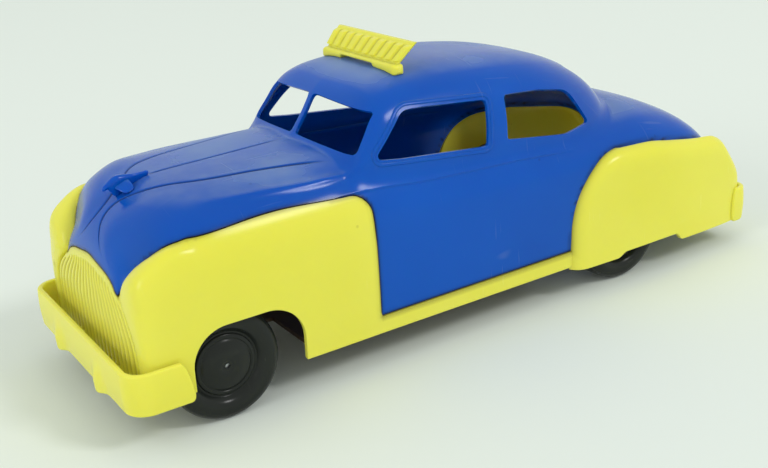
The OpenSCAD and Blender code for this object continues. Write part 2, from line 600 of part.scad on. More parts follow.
module roof_sign() {
    panel_x = sign_x - 0.62 * sign_depth;
    low_half = sign_half - 1.2;
    high_half = low_half + sign_flare;
    pitch = (sign_length - 2 * sign_margin) / sign_bars;
    rise = sign_top - foot_top;
    color([0.9, 0.88, 0.3]) {
        sign_foot();
        sign_panel(panel_x, sign_t * 0.6, low_half, high_half);
        for (i = [0 : sign_bars - 1]) {
            y = pitch * (i - (sign_bars - 1) / 2);
            intersection() {
                sign_panel(panel_x + sign_t * 0.3, sign_t * 0.7, low_half, high_half);
                translate([0, y, foot_top + rise / 2 + 0.2])
                    cube([far, pitch * 0.56, rise - 1.5], center = true);
            }
        }
    }
}

// Hood ornament: a small winged figure that stands off the falling hood.
module hood_ornament() {
    nose = ornament_x + ornament_length / 2;
    tail = ornament_x - ornament_length / 2;
    back = [for (i = [0 : 6]) tail + (ornament_length - 4.4) * i / 6];
    z = hood_z(tail);
    color([0.1, 0.33, 0.72]) {
        along_y(2.4) polygon(concat([for (x = back) [x, hood_z(x) + 0.12]],
                                    [[nose - 0.6, z - 2], [nose, z - 1.2], [nose - 1.2, z - 0.2],
                                     [nose - 5, z + 2], [nose - 8.4, z + 2.2], [tail + 1, z + 1.3],
                                     [tail, z + 0.9]]));
        intersection() {
            along_y(2 * far) polygon([[nose - 3, z - 0.6], [nose - 3.6, z + 0.6], [tail + 3, z + 1.6],
                                      [tail + 3, z + 0.5]]);
            linear_extrude(far) polygon([[nose - 3.4, 0], [nose - 5.6, ornament_span / 2],
                                         [nose - 8, ornament_span / 2], [nose - 9, 0],
                                         [nose - 8, -ornament_span / 2], [nose - 5.6, -ornament_span / 2]]);
        }
    }
}

// Bumpers: bent blades; plan shape with its straight face at x = front and rounded corners.
module blade_plan(front, side, r, back) {
    translate([back, -side]) square([front - r - back, 2 * side]);
    translate([back, -side + r]) square([front - back, 2 * (side - r)]);
    for (s = [-1, 1]) translate([front - r, s * (side - r)]) circle(r);
}
module blade(front, side, back, low, high) {
    translate([0, 0, low]) linear_extrude(high - low) difference() {
        blade_plan(front, side, bumper_corner_r, back);
        blade_plan(front - bumper_t, side - bumper_t, bumper_corner_r - bumper_t, back - 1);
        translate([-far, -far]) square([far + back, 2 * far]);
    }
}
module front_bumper() {
    end_x = blade_x - front_bumper_reach;
    color([0.9, 0.88, 0.3]) {
        difference() {
            blade(blade_x, half_w + bumper_t + 0.3, end_x, front_bumper_bottom, front_bumper_top);
            along_y(2 * far) polygon([[end_x - 1, front_bumper_top - 5.4], [end_x, front_bumper_top - 4.9],
                                      [blade_x - 5.5, front_bumper_top + 0.1],
                                      [end_x - 1, front_bumper_top + 0.1]]);
        }
        for (s = [-1, 1]) {
            intersection() {
                translate([blade_x + guard_out - 3.4, s * guard_y, front_bumper_bottom - 0.8])
                    cylinder(r = 3.4, h = front_bumper_top - front_bumper_bottom - 1.6);
                between_x(blade_x - bumper_t / 2, far);
            }
            translate([nose_x + 0.1, s * guard_y - 2.5, sill_bottom + 1])
                cube([bumper_standoff + bumper_t / 2, 5, 6]);
        }
    }
}
module rear_bumper() {
    color([0.9, 0.88, 0.3]) rotate([0, 0, 180]) {
        blade(body_length / 2, fender_half - 0.1, body_length / 2 - rear_bumper_reach,
              rear_bumper_bottom, rear_bumper_top);
        for (s = [-1, 1]) {
            translate([0.1 - tail_x, s * guard_y - 2.5, sill_bottom + 0.6])
                cube([rear_standoff + bumper_t / 2, 5, 4.6]);
        }
    }
}

// Floor pan: a plate on the sill ledges, with a stem and cross-pieces that end in bearing ears.
module bearing(x) {
    ear_r = axle_d / 2 + 2.4;
    translate([x - 7.5, -ear_out, pan_z]) cube([15, 2 * ear_out, pan_t]);
    for (s = [-1, 1]) {
        translate([x, s * (ear_out - ear_t / 2), 0]) {
            translate([-ear_r, -ear_t / 2, pan_z]) cube([2 * ear_r, ear_t, axle_z - pan_z]);
            translate([0, ear_t / 2, axle_z]) rotate([90, 0, 0]) cylinder(r = ear_r, h = ear_t);
        }
    }
}
module floor_pan() {
    color([0.22, 0.15, 0.1]) difference() {
        union() {
            translate([pan_rear, -pan_half, pan_z]) cube([pan_front - pan_rear, 2 * pan_half, pan_t]);
            translate([rear_axle_x, -12, pan_z]) cube([wheelbase, 24, pan_t]);
            bearing(front_axle_x);
            bearing(rear_axle_x);
        }
        for (x = [front_axle_x, rear_axle_x]) {
            translate([x, far / 2, axle_z]) rotate([90, 0, 0]) cylinder(d = axle_d + axle_play, h = far);
        }
    }
}

// Axle rods and wheels.
module axle(x) {
    color([0.7, 0.7, 0.72]) translate([x, track_outer / 2 - 1, axle_z]) rotate([90, 0, 0])
        cylinder(d = axle_d, h = track_outer - 2);
}
// Half section of a wheel [radius, distance outward from the tread's inner edge].
wheel_r = wheel_d / 2;
hub_r = hub_d / 2;
bore_r = axle_d / 2 + 0.02;
wheel_section = [[bore_r, ear_out + wheel_play - wheel_in], [bore_r + 2.6, ear_out + wheel_play - wheel_in],
                 [bore_r + 2.6, 0.9], [wheel_r - 5, 0.9], [wheel_r - 4, 0], [wheel_r - 2.2, 0],
                 [wheel_r - 0.6, 0.7], [wheel_r, 2.2], [wheel_r, wheel_width - 2.6],
                 [wheel_r - 0.5, wheel_width - 1.2], [wheel_r - 1.6, wheel_width - 0.3],
                 [wheel_r - 3, wheel_width], [hub_r + 2, wheel_width - 0.9], [hub_r + 0.5, wheel_width - 1.6],
                 [hub_r, wheel_width - 1.6], [hub_r, wheel_width - 0.6], [hub_r - 1, wheel_width - 0.4],
                 [hub_r - 1.3, wheel_width - 0.7], [hub_r - 1.9, wheel_width - 0.3],
                 [hub_r * 0.5, wheel_width], [bore_r + 0.8, wheel_width], [bore_r, wheel_width - 0.3]];
module wheel(x, side) {
    color([0.13, 0.14, 0.14]) translate([x, side * wheel_in, axle_z]) rotate([-90 * side, 0, 0])
        rotate_extrude() polygon(wheel_section);
}
module front_axle() axle(front_axle_x);
module rear_axle() axle(rear_axle_x);
module wheel_front_left() wheel(front_axle_x, 1);
module wheel_front_right() wheel(front_axle_x, -1);
module wheel_rear_left() wheel(rear_axle_x, 1);
module wheel_rear_right() wheel(rear_axle_x, -1);

lower_body();
upper_body();
roof_sign();
hood_ornament();
front_bumper();
rear_bumper();
floor_pan();
front_axle();
rear_axle();
wheel_front_left();
wheel_front_right();
wheel_rear_left();
wheel_rear_right();
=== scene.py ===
"""Toy taxi: a two-colour moulded push toy. Sizes are in millimetres, +X is the front, +Y the car's left.

The body's skins are functions of a station along the car and a share of its section. Nets laid on them are
cut along the joints and windows. Bumpers, sign, ornament, lips and wheels are sections carried along paths.
"""
import bpy
import numpy as np
from mathutils import Matrix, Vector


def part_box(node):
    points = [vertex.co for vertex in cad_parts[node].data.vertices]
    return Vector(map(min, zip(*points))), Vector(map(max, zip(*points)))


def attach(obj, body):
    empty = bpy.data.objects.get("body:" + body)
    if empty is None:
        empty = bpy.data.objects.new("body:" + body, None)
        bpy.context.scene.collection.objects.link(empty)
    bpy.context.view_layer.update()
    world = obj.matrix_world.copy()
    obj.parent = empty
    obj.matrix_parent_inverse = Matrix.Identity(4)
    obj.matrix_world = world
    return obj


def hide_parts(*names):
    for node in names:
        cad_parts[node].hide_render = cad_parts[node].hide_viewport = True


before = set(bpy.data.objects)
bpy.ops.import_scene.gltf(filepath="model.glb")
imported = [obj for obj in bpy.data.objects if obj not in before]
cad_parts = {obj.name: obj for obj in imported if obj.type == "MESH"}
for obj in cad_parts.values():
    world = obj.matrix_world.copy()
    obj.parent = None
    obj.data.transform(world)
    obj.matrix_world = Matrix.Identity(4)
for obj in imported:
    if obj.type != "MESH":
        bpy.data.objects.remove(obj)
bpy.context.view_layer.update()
MM = 0.001

# Places and sizes taken from the frame.


def low_corner(node):
    """Lowest corner of a node's box in millimetres."""
    return np.array(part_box(node)[0]) / MM


def high_corner(node):
    """Highest corner of a node's box in millimetres."""
    return np.array(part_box(node)[1]) / MM


def middle(node):
    """Middle of a node's box in millimetres."""
    return (low_corner(node) + high_corner(node)) / 2


RIB_PROUD = 0.1
BLADE = 1.8
BLADE_GAP = 0.3
NOSE = high_corner("lower_body")[0] - RIB_PROUD
TAIL = low_corner("lower_body")[0]
FENDER_HALF = high_corner("lower_body")[1]
FRONT_AXLE = middle("front_axle")[0]
REAR_AXLE = middle("rear_axle")[0]
HALF_W = high_corner("front_bumper")[1] - BLADE - BLADE_GAP
BACK_END = low_corner("rear_bumper")[0]

# Heights above the floor.
ROOF = 88.4
COWL = 68.6
HOOD = 67.4
DECK = 61.0
HOOD_SEAM = 58.0
REAR_FENDER_TOP = 50.0
FENDER_FOOT = 24.0
GRILLE_TOP = 47.4
FANG_Z = 41.0
ARCH_TOP = 31.7
SILL_TOP = 17.6
SILL_BOTTOM = 11.8
LEG_FOOT = 13.6
REAR_SKIRT = 9.6
WINDOW_SILL = 65.6
WINDOW_TOP = 79.6

# Places along the car.
SCREEN_X = 43.6
BACKLIGHT_X = BACK_END + 49
CABIN_START = BACKLIGHT_X - 8
CABIN_END = SCREEN_X + 10.4
DOOR_SEAM = 40.5
CREST_START = NOSE - 14
PILLAR_FRONT = -7.4
PILLAR_BACK = -15.0
FENDER_RUN = 23.2
REAR_FENDER_X = REAR_AXLE + 26
FENDER_CREST = REAR_FENDER_X - FENDER_RUN
TAIL_CLOSE = 6.0
NOSE_CLOSE = 3.0

# Distances from the middle plane.
CABIN_HALF = 37.5
FANG_Y = 22.2
POST_HALF = 1.1
SWEEP_Y = 29.0
FENDER_ROOT = 36.0

# Walls, joints and blends.
WALL = 1.7
CABIN_WALL = 1.2
GRILLE_WALL = 1.0
EDGE = 0.25
APRON_EDGE = 0.2
SEAM_GAP = 0.25
SEAM_LIFT = 1.5
SEAM_ROUND = 6.2
SILL_TUCK = 0.9
BELT_BLEND = 3.0
SCREEN_SWEEP = 2.8
FENDER_ROUND = 7.0
FENDER_LAP = 1.8
SHELF_SHARE = 0.2
SHELF_SLOPE = 0.55
RIB_PITCH = 2.3
RIB_DEPTH = 0.6
GRILLE_BORDER = 2.8

# Spans.
CABIN = SCREEN_X - BACKLIGHT_X
HOOD_LENGTH = NOSE - SCREEN_X
BELT_RISE = COWL - DECK
HOOD_FALL = COWL - HOOD
FENDER_RISE = REAR_FENDER_TOP - FENDER_FOOT

# Distance that a cutting rule gives where it has no say.
CLEAR = 9.0

# Curves and small helpers.
FAIR_PITCH = 0.02
FAIR_ROOM = 0.3
FAIR_SHARES = np.array([1, 4, 6, 4, 1]) / 16
NO_ENDS = (-99, 199)


def knots(start, base, *steps):
    """Knots of a curve: places counted from start, values counted from base."""
    return [(start + place, base + value) for place, value in steps]


def monotone(curve, place):
    """Smooth curve through knots: cubic pieces, an inner slope being the harmonic mean of both sides."""
    table = np.asarray(curve, float)
    at, value = table[:, 0], table[:, 1]
    step = np.diff(at)
    rise = np.diff(value) / step
    slope = np.concatenate([rise[:1], np.zeros(len(step) - 1), rise[-1:]])
    before, after = rise[:-1], rise[1:]
    same = before * after > 0
    safe_before = np.where(same, before, 1)
    safe_after = np.where(same, after, 1)
    whole = 3 * (step[:-1] + step[1:])
    mean = whole / ((2 * step[1:] + step[:-1]) / safe_before + (step[1:] + 2 * step[:-1]) / safe_after)
    slope[1:-1] = np.where(same, mean, 0)
    x = np.clip(place, at[0], at[-1])
    i = np.clip(np.searchsorted(at, x, side="right") - 1, 0, len(step) - 1)
    t = (x - at[i]) / step[i]
    blend = t * t * (3 - 2 * t)
    bend = t * (1 - t) * step[i] * ((1 - t) * slope[i] - t * slope[i + 1])
    return value[i] * (1 - blend) + value[i + 1] * blend + bend


def fair(curve, reach=3.0, ends=(TAIL, NOSE)):
    """Faired curve: the smooth curve averaged over reach to both sides, less near the ends."""
    low = curve[0][0]
    high = curve[-1][0]
    xs = np.linspace(low, high, int((high - low) / FAIR_PITCH) + 2)
    room = np.minimum(xs - ends[0], ends[1] - xs)
    width = np.clip(FAIR_ROOM * room, 0, reach)
    places = xs[:, None] + width[:, None] * np.linspace(-1, 1, len(FAIR_SHARES))
    values = (monotone(curve, places) * FAIR_SHARES).sum(axis=1)
    return lambda place: np.interp(place, xs, values)


def smoothstep(low, high, x):
    """0 below low, 1 above high, an S curve between."""
    t = np.clip((x - low) / (high - low), 0, 1)
    return t * t * (3 - 2 * t)


def bell(off, width):
    """1 on a line, falling to both sides as e to the minus squared share of width."""
    return np.exp(-(off / width) ** 2)


def superellipse(angle, half, rise, n):
    """Radius of a squared ellipse of that half width and rise at an angle."""
    return ((np.abs(np.cos(angle)) / half) ** n + (np.abs(np.sin(angle)) / rise) ** n) ** (-1 / n)


def smooth_max(a, b, k):
    """The larger of two values with a soft change over k."""
    h = np.clip(0.5 + (a - b) / (2 * k), 0, 1)
    return b + (a - b) * h + k * h * (1 - h)


def halved(inside, near, far, turns=24):
    """Last value from near towards far that is inside, by halving the stretch between them."""
    for _ in range(turns):
        half = (near + far) / 2
        hit = inside(half)
        near = np.where(hit, half, near)
        far = np.where(hit, far, half)
    return near


def around(count):
    """Even angles once round."""
    return np.linspace(0, 2 * np.pi, count, endpoint=False)


def spaced(*marks):
    """One rising row from stretches (start, end, cells)."""
    rows = [np.linspace(a, b, n, endpoint=False) for a, b, n in marks]
    return np.concatenate(rows + [[marks[-1][1]]])


def toward(end, depth, count):
    """Places that crowd towards an end: end minus depth times the square of an even step."""
    return end - depth * np.linspace(1, 0, count) ** 2


def crowded(low, high, reach, fine, count):
    """Rising row from low to high: even inside, crowding towards both ends within reach of them."""
    end = reach * np.linspace(0, 1, fine)[:-1] ** 2
    return np.concatenate([low + end, np.linspace(low + reach, high - reach, count), (high - end)[::-1]])


def points(x, y, z):
    """Points from three arrays of coordinates that fit together."""
    return np.stack(np.broadcast_arrays(x, y, z), axis=-1)


# Lengthwise curves of the lower body section: height of its centre, top, half width and squareness.
section_z = fair(knots(TAIL, 0, (0, 18), (4, 27), (9, 34), (17, 38), (26, 40))
                 + knots(NOSE, 0, (-3, 40), (-0.8, 35), (0, 30)))
low_z = fair(knots(TAIL, DECK, (0, -39), (1.5, -30), (4, -22.5), (8, -17.5), (14, -11.8), (22, -7),
                   (33, -2.6))
             + knots(0, DECK, (BACKLIGHT_X, 0), (-40, 0.05 * BELT_RISE), (-10, 0.27 * BELT_RISE),
                     (20, 0.6 * BELT_RISE))
             + knots(SCREEN_X, COWL, (0, 0), (0.27 * HOOD_LENGTH, -0.35 * HOOD_FALL),
                     (0.46 * HOOD_LENGTH, -0.62 * HOOD_FALL))
             + knots(NOSE, HOOD, (-25, 0), (-15, -3.5), (-9.5, -7), (-5.8, -10.7), (-3.4, -15),
                     (-1.9, -19.6), (-0.8, -25.6), (0, -34.8)))
low_y = fair(knots(TAIL, HALF_W, (0, -14), (3, -10), (9, -7.5), (21, -3.2))
             + knots(0, HALF_W, (-70, -1), (0, -0.5), (40, -0.4), (58, 0))
             + knots(NOSE, HALF_W, (-14, 0), (-12, -1.2), (-10, -4), (-8, -9.4), (-6, -15), (-4, -17.1),
                     (-2.4, -18.2), (-1, -19), (-0.4, -20.5), (-0.15, -24))
             + [(NOSE, 1)])
low_n = fair([(TAIL, 2.6), (TAIL + 27, 2.6), (-60, 2.8), (0, 3), (60, 3.2)]
             + knots(NOSE, 0, (-28, 3.3), (-14, 2.9), (-10, 2.4), (-6, 2.2), (0, 2.2)))
# Front fender crests: inner, crest and outer distance from the middle, top and foot heights.
crest_in = fair(knots(NOSE, HALF_W, (-33, -12), (-14, -13.5), (-10, -15.5), (-6, -18.2), (-2.4, -17.6),
                      (-1, -17), (-0.4, -16), (-0.15, -14.4), (0, -12.5)))
crest_mid = fair(knots(NOSE, HALF_W, (-33, -5), (-14, -5), (-6, -6), (-3, -6.5), (-1, -8), (-0.4, -10),
                       (0, -12)))
crest_out = fair(knots(NOSE, HALF_W, (-33, -0.1), (-14, 0), (-7, -0.4), (-4, -1.2), (-2, -2.4), (-0.9, -4),
                       (-0.4, -6), (-0.15, -8.5), (0, -11)))
crest_top = fair(knots(NOSE, HOOD_SEAM, (-33, -8), (-23, -2.4), (-17, -0.7), (-14, -0.9), (-10, -2.3),
                       (-6.7, -4.3), (-2.9, -7.4), (-1.2, -10.2), (-0.4, -14), (-0.15, -17), (0, -23)))
crest_base = fair(knots(NOSE, 0, (-33, 40), (-3, 40), (-0.4, 34), (0, 28)))
# Cabin: roof height, half width and squareness.
cabin_z = fair(knots(BACKLIGHT_X, DECK, (-8, -19), (-4, -9), (0, -1))
               + knots(BACKLIGHT_X, ROOF, (5, -21.6), (12, -15.1), (21, -10), (32, -6),
                       (0.385 * CABIN, -2.8), (0.52 * CABIN, -0.9), (0.65 * CABIN, 0))
               + knots(SCREEN_X, ROOF, (-29.6, -0.1), (-19.6, -1), (-12.6, -3.2), (-8.4, -6.4))
               + knots(SCREEN_X, COWL, (-4.2, 7.2), (0, 1.6), (4.4, -6.6), (10.4, -20.6)), 1.6)
cabin_y = fair(knots(BACKLIGHT_X, CABIN_HALF, (-8, -23.5), (-2, -15.5), (6, -9.5), (16, -4.5), (28, -2),
                     (0.35 * CABIN, -0.5), (0.55 * CABIN, 0))
               + knots(SCREEN_X, CABIN_HALF, (-19.6, 0), (0, -0.9), (10.4, -2.5)))
cabin_n = fair(knots(BACKLIGHT_X, 0, (-8, 2.4), (16, 2.8), (0.3 * CABIN, 3.4), (0.635 * CABIN, 4.1))
               + knots(SCREEN_X, 0, (-19.6, 4.4), (-8, 5.6), (0, 9), (10.4, 9)))
# Share of the windscreen's sweep: how far the sides lie behind the middle.
sweep = fair(knots(SCREEN_X, 0, (-33.6, 0), (-19.6, 0.21), (-8.4, 0.72), (0, 1), (6.4, 0.82), (26.4, 0.18),
                   (40.4, 0)), 2)
# Crease beside the hood's middle panel: distance from the middle along the car, then down the nose.
crease_y = fair(knots(NOSE, 0, (-75, 28), (-65, 24.5), (-50, 20.5), (-35, 17.5), (-23, 12.5), (-16, 6),
                      (-12.1, 3), (-9.3, 2.2), (-6.9, 2.6), (-5.1, 4.2), (-3.8, 6.5), (-2.8, 9.2),
                      (-2.4, 12), (-2.15, 14.5), (-1.5, 20)), 1.5)
# Joint line in front view: grille arch, fang, then up the valley beside the fender crest.
fang_line = fair(knots(0, GRILLE_TOP, (-8, -0.24), (0, 0))
                 + knots(FANG_Y, GRILLE_TOP, (-14.8, -0.8), (-9.6, -1.6))
                 + knots(FANG_Y, FANG_Z, (-5, 3.4), (-2.8, 2.1), (-1.2, 0.6), (0, 0), (1, 0.8), (2.2, 2.6),
                         (3.2, 4.6), (4.3, 6.5), (6, 8.5), (7.6, 10.4), (9.6, 12.8), (11.3, 14.5))
                 + knots(FANG_Y, HOOD_SEAM, (13.1, -0.8))
                 + knots(HALF_W, HOOD_SEAM, (-5.6, -0.1), (4, 90)), 0.25)
# Height of the pressed line along the doors, from the rear fender to the cowl.
belt_z = fair([(-60, 52.4), (-41.5, 53.6), (-16.5, 55.9), (13.4, 58.1), (30, 59), (48, 60), (70, 60.6)])
# Share of the half section at which the ridge runs from the windscreen's foot along the hood's cheek.
ridge_share = fair([(30, 0.36), (36, 0.38), (41.4, 0.41), (46.7, 0.463), (55, 0.49), (60.9, 0.499),
                    (76.8, 0.495), (100, 0.49)])
# Outward shift of the valley beside the grille, by height: the grille widens downward.
grille_spread = fair([(0, 11.6), (25, 11.6), (29, 11), (33, 9.2), (37, 5.8), (39.5, 2.6), (42, 0),
                      (120, 0)], 1, NO_ENDS)
# Rear fender: height of its edge behind the crest, and its distance from the middle.
fender_back = fair(knots(TAIL, 0, (-2, 26.2), (0, 29), (1.8, 31.5), (4.4, 35), (7.5, 39.1), (9.8, 42),
                         (12, 43.4), (15, 44.5))
                   + knots(TAIL, REAR_FENDER_TOP, (22, -4.8), (37, -2.4), (47, -0.7))
                   + [(FENDER_CREST, REAR_FENDER_TOP)], 1.2)
fender_y = fair(knots(TAIL, FENDER_HALF, (-1, -4.4), (1.5, -2.4), (5, -1.5), (14, -0.7), (26, -0.2))
                + knots(0, FENDER_HALF, (REAR_AXLE, 0), (REAR_FENDER_X, -0.6)))

# Body section. Shares of the half section at the crease, the belt and the top of the side wall.
CROWN_SHARE = 0.3
BELT_SHARE = 0.62
SIDE_SHARE = 0.74
CREST_SQUARE = 2.38
CREASE_LIMIT = 0.86
BELT_LIMIT = 0.6
# Millimetres of skin for one whole share: beside the crease, over the belt and under it.
CREASE_RUN = 60
BELT_RUN = 52
UNDER_RUN = 150
# Half widths and heights of the pressed lines, the ridge, the belt's step and the pillows.
GROOVE_WIDTH = 0.5
GROOVE_DEPTH = 0.45
MIDDLE_WIDTH = 0.45
MIDDLE_DEPTH = 0.35
RIDGE_WIDTH = 1.6
RIDGE_HEIGHT = 0.85
STEP_HEIGHT = 0.5
STEP_FADE = 4
HOOD_PILLOW = 0.35
NOSE_PILLOW = 0.75
PILLOW_SHARE = 0.8
# Where each of them comes and goes along the car, and the belt's step across it.
LINES_START = (SCREEN_X + 4, SCREEN_X + 12)
GROOVE_END = (NOSE - 2.2, NOSE - 4.6)
MIDDLE_END = (NOSE - 23, NOSE - 27)
PILLOW_SWELL = (NOSE - 34, NOSE - 12)
PILLOW_END = (NOSE - 1.6, NOSE - 7)
STEP_START = (-44, -30)
STEP_END = (SCREEN_X + 12, SCREEN_X + 2)
STEP_EDGE = (-0.5, 0.3)
RIDGE_START = (38, 54)
RIDGE_END = (98, 76)


def section_radius(s, angle):
    """Radius of the section at station s: the lower squared ellipse, softly joined with the cabin's."""
    zc = section_z(s)
    low = superellipse(angle, low_y(s), low_z(s) - zc, low_n(s))
    high = superellipse(angle, cabin_y(s), np.maximum(cabin_z(s) - zc, 1), cabin_n(s))
    inside = (s > CABIN_START) & (s < CABIN_END)
    return np.where(inside, smooth_max(high, low, BELT_BLEND), low)


def outside_body(s, y, z):
    """How far a point lies outside the section at station s, along the ray from the section's centre."""
    zc = section_z(s)
    up = np.maximum(z - zc, 0)
    over = np.hypot(y, up) - section_radius(s, np.arctan2(up, np.abs(y)))
    u = np.clip((zc - z) / (zc - SILL_BOTTOM), 0, 1)
    return np.where(z < zc, np.abs(y) - low_y(s) + SILL_TUCK * u * u, over)


def crest_radius(s, angle):
    """Radius of the crest's section about its foot: a squarer quarter outside, a round one inside."""
    rise = crest_top(s) - crest_base(s)
    outer = superellipse(angle, crest_out(s) - crest_mid(s), rise, CREST_SQUARE)
    inner = superellipse(angle, crest_mid(s) - crest_in(s), rise, 2)
    return np.where(angle < np.pi / 2, outer, inner)


def crease_angle(s):
    """Angle in the section at which the hood's side crease lies."""
    half = low_y(s)
    y = np.minimum(crease_y(s), CREASE_LIMIT * half)
    n = low_n(s)
    rise = (low_z(s) - section_z(s)) * (1 - (y / half) ** n) ** (1 / n)
    return np.arctan2(rise, y)


def belt_angle(s, crease):
    """Angle in the section at which the pressed line along the doors lies, kept below the crease."""
    rise = belt_z(s) - section_z(s)
    return np.minimum(np.arctan2(rise, low_y(s) - 1), BELT_LIMIT * crease)


def skin_relief(s, q):
    """Relief of the skin at station s and share q, and the mask of its pressed lines.

    Bells about the crease and the middle line sink, a bell about the ridge rises, squared sines lift the
    cheeks, and a step at the belt fades upward.
    """
    off_crease = (q - CROWN_SHARE) * np.where(q < CROWN_SHARE, crease_y(s) / CROWN_SHARE, CREASE_RUN)
    off_middle = q * crease_y(s) / CROWN_SHARE
    along = smoothstep(*LINES_START, s)
    groove = bell(off_crease, GROOVE_WIDTH) * along * smoothstep(*GROOVE_END, s)
    middle_line = bell(off_middle, MIDDLE_WIDTH) * along * smoothstep(*MIDDLE_END, s)
    v = np.clip((q - CROWN_SHARE) / (PILLOW_SHARE * (SIDE_SHARE - CROWN_SHARE)), 0, 1)
    cheek = HOOD_PILLOW * along + NOSE_PILLOW * smoothstep(*PILLOW_SWELL, s)
    pillow = np.sin(np.pi * v) ** 2 * cheek * smoothstep(*PILLOW_END, s)
    over_belt = (BELT_SHARE - q) * np.where(q < BELT_SHARE, BELT_RUN, UNDER_RUN)
    doors = smoothstep(*STEP_START, s) * smoothstep(*STEP_END, s)
    step = smoothstep(*STEP_EDGE, over_belt) * np.exp(-np.maximum(over_belt, 0) / STEP_FADE) * doors
    off_ridge = (q - ridge_share(s)) * BELT_RUN
    ridge = bell(off_ridge, RIDGE_WIDTH) * smoothstep(*RIDGE_START, s) * smoothstep(*RIDGE_END, s)
    raised = pillow + STEP_HEIGHT * step + RIDGE_HEIGHT * ridge
    return raised - GROOVE_DEPTH * groove - MIDDLE_DEPTH * middle_line, np.maximum(groove, middle_line)


def swept(s, y):
    """Place along the car of a point of the section at station s: the sides of the windscreen lie back."""
    return s - SCREEN_SWEEP * sweep(s) * y / SWEEP_Y


def skin(place):
    """Body skin. s is the station, p runs from -1 at the right sill over the crown (0) to 1 at the left.

    Up to CROWN_SHARE the angle falls from upright to the crease, up to BELT_SHARE from there to the belt
    and up to SIDE_SHARE to the side. The rest is the side wall, tucked in by the square of its depth.
    Behind the tail the section closes.
    """
    s, p = place[:, 0], place[:, 1]
    st = np.clip(s, TAIL, NOSE)
    q = np.abs(p)
    zc = section_z(st)
    crease = crease_angle(st)
    belt = belt_angle(st, crease)
    over = np.pi / 2 - (np.pi / 2 - crease) * q / CROWN_SHARE
    beside = belt + (crease - belt) * (BELT_SHARE - q) / (BELT_SHARE - CROWN_SHARE)
    under = belt * (SIDE_SHARE - q) / (SIDE_SHARE - BELT_SHARE)
    angle = np.where(q < CROWN_SHARE, over, np.where(q < BELT_SHARE, beside, under))
    angle = np.maximum(angle, 0)
    u = np.clip((q - SIDE_SHARE) / (1 - SIDE_SHARE), 0, 1)
    r = section_radius(st, angle) + skin_relief(st, q)[0]
    y = np.where(u > 0, low_y(st) - SILL_TUCK * u * u, r * np.cos(angle))
    z = np.where(u > 0, zc - (zc - SILL_BOTTOM) * u, zc + r * np.sin(angle))
    close = np.clip(1 - (TAIL - s) / TAIL_CLOSE, 0, 1)
    y = y * close
    z = SILL_TOP + (z - SILL_TOP) * close
    return points(swept(st, y), np.sign(p) * y, z)


# Front fenders. Shares of their section at the ends of the outer wall and of both crest quarters.
WALL_END = 0.30
OUTER_END = 0.62
INNER_END = 0.86
FENDER_BLEND = 0.7
RAY_LIMIT = 2.2
SKIN_FAR = 60.0
# Ribs: how narrow their notches are, and where they fade at the border, beyond the fang and at the sides.
NOTCH = 1.2
BORDER_FADE = (GRILLE_BORDER - 0.5, GRILLE_BORDER + 0.5)
FANG_FADE = (FANG_Z - 1, FANG_Z - 4)
SIDE_FADE = (FANG_Y + 2.6, FANG_Y + 1.4)
RIB_START = (NOSE - 4, NOSE - 2.6)
SPREAD_START = (NOSE - 10, NOSE - 3.5)


def spread(y, z, share=1.0):
    """Widens the nose by the grille's spread: distances up to the fang grow, those beyond it shrink."""
    shift = grille_spread(z) * share
    inner = y * (1 + shift / FANG_Y)
    outer = FANG_Y + shift + (y - FANG_Y) * (HALF_W - FANG_Y - shift) / (HALF_W - FANG_Y)
    return np.where(y < FANG_Y, inner, outer)


def rib_groove(y, z):
    """Share of a groove between the upright ribs: narrow notches across, faded at border and sides."""
    notch = np.abs(np.sin(np.pi * y / RIB_PITCH))
    border = smoothstep(*BORDER_FADE, fang_line(np.abs(y)) - z)
    border = np.where(np.abs(y) > FANG_Y, smoothstep(*FANG_FADE, z), border)
    return (1 - notch) ** NOTCH * border * smoothstep(*SIDE_FADE, np.abs(y))


def crest_point(s, w):
    """Angle, radius and point (y, z) of the crest's section: outer wall, two quarters, inner wall."""
    angle = np.where(w < OUTER_END, (w - WALL_END) / (OUTER_END - WALL_END) / 2,
                     0.5 + (w - OUTER_END) / (INNER_END - OUTER_END) / 2)
    angle = np.clip(angle, 0, 1) * np.pi
    r = crest_radius(s, angle)
    y = crest_mid(s) + r * np.cos(angle)
    z = crest_base(s) + r * np.sin(angle)
    down = np.clip((w - INNER_END) / (1 - INNER_END), 0, 1)
    return angle, r, y, z - (z - SILL_BOTTOM) * down


def body_reach(s, angle):
    """Distance from the crest's foot along a ray to the body skin; 0 where the foot is outside."""
    y, z = crest_mid(s), crest_base(s)

    def inside(reach):
        """Whether the ray at that reach is still inside the body."""
        return outside_body(s, y + reach * np.cos(angle), z + reach * np.sin(angle)) < 0

    reach = halved(inside, np.zeros_like(s), np.full_like(s, SKIN_FAR))
    return np.where(outside_body(s, y, z) < 0, reach, 0)


